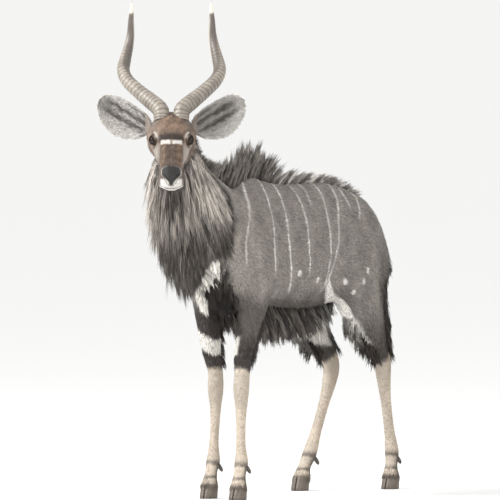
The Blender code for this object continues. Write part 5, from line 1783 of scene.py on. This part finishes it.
def cut_short(path, outs, past):
    """Paths resampled so that each ends where it would first pass an edge."""
    steps = path.shape[1] - 1
    beyond = past(path) > 0
    first = np.where(beyond.any(axis=1), np.maximum(beyond.argmax(axis=1), 1), steps)
    place = np.linspace(0, 1, steps + 1) * first[:, None]
    row = np.minimum(place.astype(int), steps - 1)
    mix = (place - row)[..., None]
    owner = np.arange(len(path))[:, None]
    shorter = path[owner, row] * (1 - mix) + path[owner, row + 1] * mix
    return shorter, unit(outs[owner, row] * (1 - mix) + outs[owner, row + 1] * mix)


def long_hair(name, ground, seed, guide_count, count, weight, way, reach, lift, droop, paint, sizes,
              steps=4, clump=0.55, stray=0.004, wide=1.0, past=None):
    """Long hair of one place: guides that hang and drape, then strands gathered round them."""
    rng = np.random.default_rng(seed)
    guides = strand_guides(ground, rng, guide_count, weight, way, reach, lift, droop, 8)
    if past is not None:
        guides = (guides[0], *cut_short(guides[1], guides[2], past))
    roots, owner, path, outs = strands(ground, rng, count, weight, guides, clump, stray)
    pick = np.linspace(0, path.shape[1] - 1, steps + 1).round().astype(int)
    path, outs = path[:, pick], outs[:, pick]
    path[..., 2] = np.maximum(path[..., 2], 0.004)
    taper = np.interp(np.linspace(0, 1, steps + 1)[:-1], (0, 0.3, 1), (0.70, 1.0, 0.55))
    width = (sizes.mane_width * wide * rng.uniform(0.6, 1.35, count))[:, None] * taper
    thick = width * 0.45
    lock_tone = rng.uniform(0.50, 1.60, guide_count)[owner][:, None]
    tone = lock_tone * rng.uniform(0.60, 1.45, (count, 1))
    where = locate(roots)
    # Strands darker at the root and lighter at the tip: painted shade deep in the hair and painted light on
    # the tips.
    item = coat_piece(name, path, outs, width, thick, paint(path[:, 1]) * tone * 0.75,
                      paint(path[:, -1]) * tone * 1.15, where, np.ones(count, dtype=bool))
    finish_piece(item, "hair")


def neck_way(places, normals):
    """Lie of the neck's hair: from the jaw down towards the chest, and hanging."""
    loft = lofts()["neck"]
    _, along, _ = loft.locate(places.astype(np.float32))
    row = np.round(along * (len(loft.half) - 1)).astype(int)
    return unit(lay_along(-loft.tangent[row] * 0.9 + np.array((0, 0, -0.75)), normals) + 0.12 * normals)


def throat_share(places):
    """1 at the middle of the throat, 0 from the side of the neck upward."""
    return np.maximum(0, -np.sin(lofts()["neck"].locate(places.astype(np.float32))[2])) ** 1.5


def mane_reach(places):
    """Length of the mane: longer low down and at the throat, short behind the jaw."""
    _, along, turn = lofts()["neck"].locate(places.astype(np.float32))
    throat = np.maximum(0, -np.sin(turn)) ** 1.5
    side = 0.190 - 0.045 * along
    front = 0.250 - 0.085 * along
    nape = ramp(0.15, 0.75, np.sin(turn))
    inner = 0.30 + 0.70 * ramp(-0.02, -0.12, past_mane(places))
    return (side + (front - side) * throat) * (1 - 0.55 * nape) * (1 - 0.35 * ramp(0.90, 1.0, along)) * inner


def mane_lift(places):
    """How far the tips of the mane stand off the neck."""
    _, along, turn = lofts()["neck"].locate(places.astype(np.float32))
    throat = np.maximum(0, -np.sin(turn)) ** 1.5
    side = 0.054 - 0.034 * along + 0.030 * ramp(0.0, -0.05, places[:, 0])
    front = 0.116 - 0.060 * along
    nape = ramp(0.15, 0.75, np.sin(turn))
    inner = 0.10 + 0.90 * ramp(-0.02, -0.12, past_mane(places))
    return (side + (front - side) * throat) * (1 - 0.7 * nape) * inner


def mane_paint(places):
    """Grey streaked sides; dark under the chin, along the back edge and towards the low tips."""
    x, y, z = places.T
    tone = tones()
    side = (places - POLL) @ LEFT
    streak = ripple(places * (1, 1, 0.25), 0.022, 61)
    low = ramp(0.96, 0.78, z - 0.35 * x)
    edge = ramp(-0.075, -0.025, past_mane(places))
    chin = bell(side, 0.055) * ramp(0.84, 0.96, z) * ramp(-0.58, -0.64, y)
    dark = np.maximum(np.maximum(0.97 * low, 0.97 * edge), 0.97 * chin)
    dark = np.clip(dark + 0.36 * streak - 0.08, 0.02, 0.97)
    return toward(np.outer(1.60 + 0.40 * streak, tone["slate"]), tone["dark"] * 1.4, dark)


class NYALA_OT_mane(bpy.types.Operator):
    """Long hair all round the neck, the throat and the chest"""

    bl_idname = "nyala.mane"
    bl_label = "Mane"

    def execute(self, context):
        sizes = context.scene.nyala_sizes
        ground = GROUNDS["body"]
        part, along, turn = locate(ground.middles)
        neck = (part == 1) & (along > 0.12) & outside_head(ground.middles)
        neck = neck & (past_mane(ground.middles) < -0.025)
        left = neck & (ground.middles[:, 0] > -0.01)
        right = neck & (ground.middles[:, 0] <= 0.01)
        share = sizes.mane_strands // 2
        for label, mask, seed in (("left", left, 301), ("right", right, 302)):
            weight = mask * (0.6 + 0.6 * throat_share(ground.middles))
            long_hair(f"nyala_mane_{label}", ground, seed, 520, share, weight, neck_way, mane_reach,
                      mane_lift, lambda p: np.full(len(p), 0.5), mane_paint, sizes, past=past_mane)
        self.beard(GROUNDS["head"], sizes)
        self.crescent(ground, sizes)
        self.chest(ground, sizes)
        return {"FINISHED"}

    def beard(self, ground, sizes):
        """Hair under the jaw, from the face's short coat down over the top of the mane."""
        s, w, r = head_local(ground.middles).T
        under = (ground.normals[ground.faces[:, 0]] @ OUT < -0.55) & (r < -0.060) & (np.abs(w) < 0.052)
        weight = under & (s > -0.01) & (s < 0.17) & (GROUNDS["body"].above(ground.middles) > -0.002)

        def way(places, normals):
            down = np.array((0.0, 0.0, -1.0)) - 0.4 * ALONG + 0 * places
            return unit(lay_along(down, normals) + 0.10 * normals)

        long_hair("nyala_beard", ground, 303, 90, 1100, weight.astype(float), way,
                  lambda p: 0.110 - 0.45 * np.clip(head_local(p)[:, 0], 0, 0.17),
                  lambda p: np.full(len(p), 0.010),
                  lambda p: np.full(len(p), 0.6), lambda p: mane_paint(p) * 1.25, sizes, wide=0.7)

    def crescent(self, ground, sizes):
        """White hair in a crescent across the chest, highest at the sides."""
        x, y, z = ground.middles.T
        sides, low = np.array(MANE_END).T
        level = np.interp(x, sides, low)
        raised = 0.030 * ramp(0.00, -0.04, x)
        weight = (z < level + 0.036 + raised) & (z > level - 0.014 + raised) & (y < -0.42)
        weight = weight & (x > -0.070) & (x < 0.080)

        def way(places, normals):
            near = ramp(-0.005, 0.040, places[:, 0]) * ramp(0.082, 0.050, places[:, 0])
            sweeping = np.stack([0.55 * near, 0.40 * near, 0 * near - 1.0], axis=-1)
            lain = lay_along(sweeping, normals) + 0.12 * normals
            return unit(np.where(near[:, None] > 0, lain, sweeping))

        long_hair("nyala_chest_crescent", ground, 311, 100, 1300, weight.astype(float), way,
                  lambda p: 0.054 + 0.020 * ramp(0.0, -0.04, p[:, 0]), lambda p: np.full(len(p), 0.030),
                  lambda p: np.full(len(p), 0.5),
                  lambda p: np.repeat(tones()["white"][None], len(p), 0) * 0.9,
                  sizes, clump=0.65)

    def chest(self, ground, sizes):
        """Dark hair of the brisket under the crescent."""
        x, y, z = ground.middles.T
        sides, low = np.array(MANE_END).T
        level = np.interp(x, sides, low) - 0.018
        weight = (z < level) & (z > 0.62) & (y < -0.40) & (chest_share(ground.middles) > 0.5)
        weight = weight & (ground.normals[ground.faces[:, 0]][:, 1] < 0.3)

        def paint(places):
            tone = tones()
            pale = ramp(0.050, 0.085, np.abs(places[:, 0]) + 0.012 * ripple(places, 0.02, 63))
            return toward(tone["dark"] * 0.8, tone["slate"] * 0.8, 0.6 * pale)

        long_hair("nyala_brisket", ground, 312, 130, 2000, weight.astype(float), self.hang,
                  lambda p: 0.050 + 0.035 * ramp(0.66, 0.74, p[:, 2]), lambda p: np.full(len(p), 0.014),
                  lambda p: np.full(len(p), 0.8), paint, sizes)

    def hang(self, places, normals):
        """Down, a little outward."""
        way = np.stack([places[:, 0] * 1.5, 0 * places[:, 1] - 0.10, 0 * places[:, 1] - 1.0], axis=-1)
        return unit(lay_along(way, normals) + 0.08 * normals)


class NYALA_OT_fringes(bpy.types.Operator):
    """Crest of the nape and back, fringes of belly, thighs and forearms, and the tail"""

    bl_idname = "nyala.fringes"
    bl_label = "Crest and Fringes"

    def execute(self, context):
        sizes = context.scene.nyala_sizes
        ground = GROUNDS["body"]
        self.crest(ground, sizes)
        self.belly(ground, sizes)
        self.legs(ground, sizes)
        self.tail(GROUNDS["tail"], sizes)
        return {"FINISHED"}

    def crest(self, ground, sizes):
        """A narrow ridge: upright and long over the withers, low and leaning back over the loins."""
        x, y, z = ground.middles.T
        top = ground.normals[ground.faces[:, 0]][:, 2] > 0.25
        width = 0.016 + 0.008 * ramp(-0.10, -0.30, y)
        crest_at = np.interp(y, (-0.66, -0.50), (-0.030, 0.0))
        weight = (np.abs(x - crest_at) < width) & top & (y > -0.62) & (y < 0.47)
        weight = weight & (z > 0.97)
        density = weight * (1.0 + 0.8 * ramp(-0.05, -0.20, y))

        def reach(places):
            y = places[:, 1]
            withers = np.interp(y, (-0.60, -0.50, -0.40, -0.25, -0.12, -0.05, 0.0, 0.20, 0.46),
                                (0.030, 0.055, 0.105, 0.125, 0.110, 0.080, 0.092, 0.080, 0.060))
            return withers

        def way(places, normals):
            y = places[:, 1]
            up = np.interp(y, (-0.60, -0.45, -0.33, -0.20, -0.07, -0.03, 0.10, 0.46),
                           (0.4, 1.6, 3.2, 2.2, 0.9, 0.8, 0.50, 0.26))
            side = places[:, 0] * 9
            return unit(np.stack([side, np.ones(len(y)), up], axis=-1))

        def paint(places):
            tone = tones()
            streak = ripple(places, 0.05, 71)
            colour = np.repeat(tone["dark"][None] * 1.3, len(places), 0)
            loin = ramp(-0.06, 0.0, places[:, 1])
            colour = toward(colour, tone["slate"] * 1.4, np.clip(0.38 + 0.35 * streak + 0.15 * loin, 0, 1))
            return toward(colour, tone["white"], 0.35 * loin * (streak > 0.15))

        long_hair("nyala_crest", ground, 401, 360, 4800, density, way, reach,
                  lambda p: np.full(len(p), 0.004), lambda p: np.full(len(p), 0.10), paint, sizes,
                  clump=0.55, wide=0.80)

    def belly(self, ground, sizes):
        """A hanging fringe along the middle of the belly, its tips swept back."""
        x, y, z = ground.middles.T
        under = ground.normals[ground.faces[:, 0]][:, 2] < -0.35
        weight = under & (np.abs(x) < 0.075) & (y > -0.34) & (y < 0.24) & (z > 0.57)

        def way(places, normals):
            return unit(columns(places[:, 0] * 4, 0.50, -0.85))

        def reach(places):
            stations = (-0.34, -0.20, 0.04, 0.14, 0.24)
            return np.interp(places[:, 1], stations, (0.085, 0.120, 0.112, 0.080, 0.030))

        def paint(places):
            tone = tones()
            colour = toward(tone["dark"] * 1.8, tone["slate"],
                            0.35 * (ripple(places * (1, 1, 0.2), 0.03, 82) > 0.1))
            pale = 0.45 * ramp(0.02, 0.24, places[:, 1]) * (ripple(places, 0.05, 81) > -0.1)
            return toward(colour, tone["white"] * 0.75, pale)

        long_hair("nyala_belly_fringe", ground, 402, 260, 4000, weight.astype(float), way, reach,
                  lambda p: np.full(len(p), 0.002), lambda p: np.full(len(p), 0.20), paint, sizes, clump=0.6)

    def legs(self, ground, sizes):
        """Fringes behind the thighs and forearms and in front of the hocks."""
        x, y, z = ground.middles.T
        out = ground.normals[ground.faces[:, 0]]
        part = locate(ground.middles)[0]
        rear = (part >= 4) & (part <= 5) & (z > 0.50) & (np.abs(x) > 0.045)
        rear = rear * ramp(0.84, 0.66, z) * ramp(0.15, 0.60, out[:, 1])
        shin = (part >= 4) & (part <= 5) & (out[:, 1] < -0.30) & (z > 0.475) & (z < 0.60) & (y > 0.15)
        arm = (part >= 2) & (part <= 3) & (out[:, 1] > 0.25) & (z > 0.475) & (z < 0.61)

        def paint(places):
            high = ramp(0.62, 0.86, places[:, 2] + 0.03 * ripple(places, 0.04, 91))
            dark = toward(tones()["dark"] * 1.8, tones()["slate"] * 0.6, high)
            x, y, z = places.T
            patch = (x < 0) * (y < 0.46) * (y > 0.10) * ramp(0.495, 0.505, z) * (z < 0.61)
            return toward(dark, tones()["white"], np.maximum(thigh_stripe(places), patch))

        def down(back):
            def way(places, normals):
                flat = np.stack([0 * places[:, 0], back + 0 * places[:, 1], -1 + 0 * places[:, 2]], axis=-1)
                return unit(lay_along(flat, normals) + 0.22 * normals)
            return way

        jobs = (
            ("nyala_thigh_fringe", rear, 411, 240, 3000, down(0.35), (0.088, 0.035)),
            ("nyala_hock_fringe", shin, 412, 100, 1500, down(0.05), (0.085, 0.060)),
            ("nyala_forearm_fringe", arm, 413, 80, 1100, down(0.50), (0.060, 0.040)),
        )
        for name, mask, seed, guides, count, way, length in jobs:
            long_hair(name, ground, seed, guides, count, mask.astype(float), way,
                      lambda p, length=length: np.interp(p[:, 2], (0.58, 0.80), length),
                      lambda p: np.interp(p[:, 2], (0.60, 0.80), (0.010, 0.003)),
                      lambda p: np.full(len(p), 0.25), paint, sizes, clump=0.6)

    def tail(self, ground, sizes):
        """Bushy tail: hair down its whole length, past its end."""
        x, y, z = ground.middles.T
        weight = (GROUNDS["body"].above(ground.middles) > -0.001) * (0.6 + ramp(0.85, 0.65, z))

        def way(places, normals):
            loft = lofts()["tail"]
            row = np.round(loft.locate(places.astype(np.float32))[1] * (len(loft.half) - 1)).astype(int)
            return unit(lay_along(loft.tangent[row], normals) + 0.16 * normals)

        def paint(places):
            tone = tones()
            under = ramp(0.607, 0.600, places[:, 1])
            colour = np.repeat(tone["dark"][None] * 1.4, len(places), 0)
            return toward(colour, tone["white"] * 0.8, 0.5 * under * ramp(0.85, 0.70, places[:, 2]))

        def reach(places):
            return np.interp(places[:, 2], (0.53, 0.65, 0.76, 0.92), (0.135, 0.120, 0.070, 0.045))

        def lift(places):
            return np.interp(places[:, 2], (0.53, 0.65, 0.76, 0.92), (0.034, 0.024, 0.009, 0.004))

        long_hair("nyala_tail_hair", ground, 421, 120, 2800, weight, way, reach, lift,
                  lambda p: np.full(len(p), 0.40), paint, sizes, clump=0.5)


class NYALA_OT_stage(bpy.types.Operator):
    """Pale floor, soft light and the camera at the drawing's angle"""

    bl_idname = "nyala.stage"
    bl_label = "Stage"

    def execute(self, context):
        context.scene.view_settings.view_transform = "Standard"
        self.floor()
        self.lights(context)
        self.camera(context)
        return {"FINISHED"}

    def floor(self):
        """A wide floor at the level of the soles."""
        reach = 300.0
        points = reach * np.array(((-1, -1, 0), (1, -1, 0), (1, 1, 0), (-1, 1, 0)))
        item = new_piece("floor", points - SHIFT * (1, 1, 0), [np.array(((0, 1, 2, 3),))], smooth=False)
        made = bpy.data.materials.new("pale_floor")
        made.use_nodes = True
        shader = made.node_tree.nodes["Principled BSDF"]
        shader.inputs["Base Color"].default_value = (0.90, 0.90, 0.89, 1.0)
        shader.inputs["Roughness"].default_value = 0.9
        item.data.materials.append(made)

    def lights(self, context):
        """A pale sky, a large key from the left and above, and a weak fill."""
        world = bpy.data.worlds.new("pale")
        world.use_nodes = True
        world.node_tree.nodes["Background"].inputs["Color"].default_value = (1.0, 1.0, 1.0, 1.0)
        world.node_tree.nodes["Background"].inputs["Strength"].default_value = 1.0
        context.scene.world = world
        lamps = (
            ("key", (-3.0, -4.6, 4.8), 520.0, 2.0),
            ("fill", (4.5, -2.5, 2.4), 80.0, 3.0),
        )
        for name, place, power, size in lamps:
            data = bpy.data.lights.new(name, "AREA")
            data.energy = power
            data.size = size
            lamp = bpy.data.objects.new(name, data)
            context.scene.collection.objects.link(lamp)
            lamp.location = place
            aim = Vector((0.0, 0.0, 0.85)) - lamp.location
            lamp.rotation_euler = aim.to_track_quat("-Z", "Y").to_euler()

    def camera(self, context):
        """Seen from far off with a long lens, a little above level, as the drawing is."""
        turn, rise, far = math.radians(30), math.radians(2.2), 120.0
        pixels, per_metre = 500, 297.0
        centre_x, floor_y = 281.4, 494.8
        back = np.array((math.sin(turn) * math.cos(rise), -math.cos(turn) * math.cos(rise), math.sin(rise)))
        right = np.array((math.cos(turn), math.sin(turn), 0.0))
        over = np.cross(back, right)
        aim = right * (pixels / 2 - centre_x) / per_metre + over * (floor_y - pixels / 2) / per_metre
        data = bpy.data.cameras.new("camera")
        data.sensor_width = 36.0
        data.lens = 36.0 * far / (pixels / per_metre)
        data.clip_end = 1000.0
        camera = bpy.data.objects.new("camera", data)
        context.scene.collection.objects.link(camera)
        camera.location = Vector(aim + back * far + SHIFT)
        camera.rotation_euler = Vector(back).to_track_quat("Z", "Y").to_euler()
        context.scene.camera = camera


OPERATORS = (
    NYALA_OT_skin,
    NYALA_OT_eyes,
    NYALA_OT_horns,
    NYALA_OT_hooves,
    NYALA_OT_short_coat,
    NYALA_OT_face_coat,
    NYALA_OT_mane,
    NYALA_OT_fringes,
    NYALA_OT_stage,
)


class NYALA_PT_panel(bpy.types.Panel):
    """Lists the steps in order, with the sizes and colours"""

    bl_label = "Nyala"
    bl_space_type = "VIEW_3D"
    bl_region_type = "UI"
    bl_category = "Nyala"

    def draw(self, context):
        for group in (context.scene.nyala_sizes, context.scene.nyala_colours):
            for name in group.bl_rna.properties.keys():
                if name not in {"rna_type", "name"}:
                    self.layout.prop(group, name)
        for operator in OPERATORS:
            self.layout.operator(operator.bl_idname)


CLASSES = (NyalaSizes, NyalaColours, *OPERATORS, NYALA_PT_panel)


def register():
    """Make the classes and their settings known."""
    for item in CLASSES:
        bpy.utils.register_class(item)
    bpy.types.Scene.nyala_sizes = PointerProperty(type=NyalaSizes)
    bpy.types.Scene.nyala_colours = PointerProperty(type=NyalaColours)


def unregister():
    """Forget the classes and their settings."""
    del bpy.types.Scene.nyala_sizes
    del bpy.types.Scene.nyala_colours
    for item in reversed(CLASSES):
        bpy.utils.unregister_class(item)


def main():
    register()
    for operator in OPERATORS:
        group, name = operator.bl_idname.split(".")
        getattr(getattr(bpy.ops, group), name)()


if __name__ == "__main__":
    main()
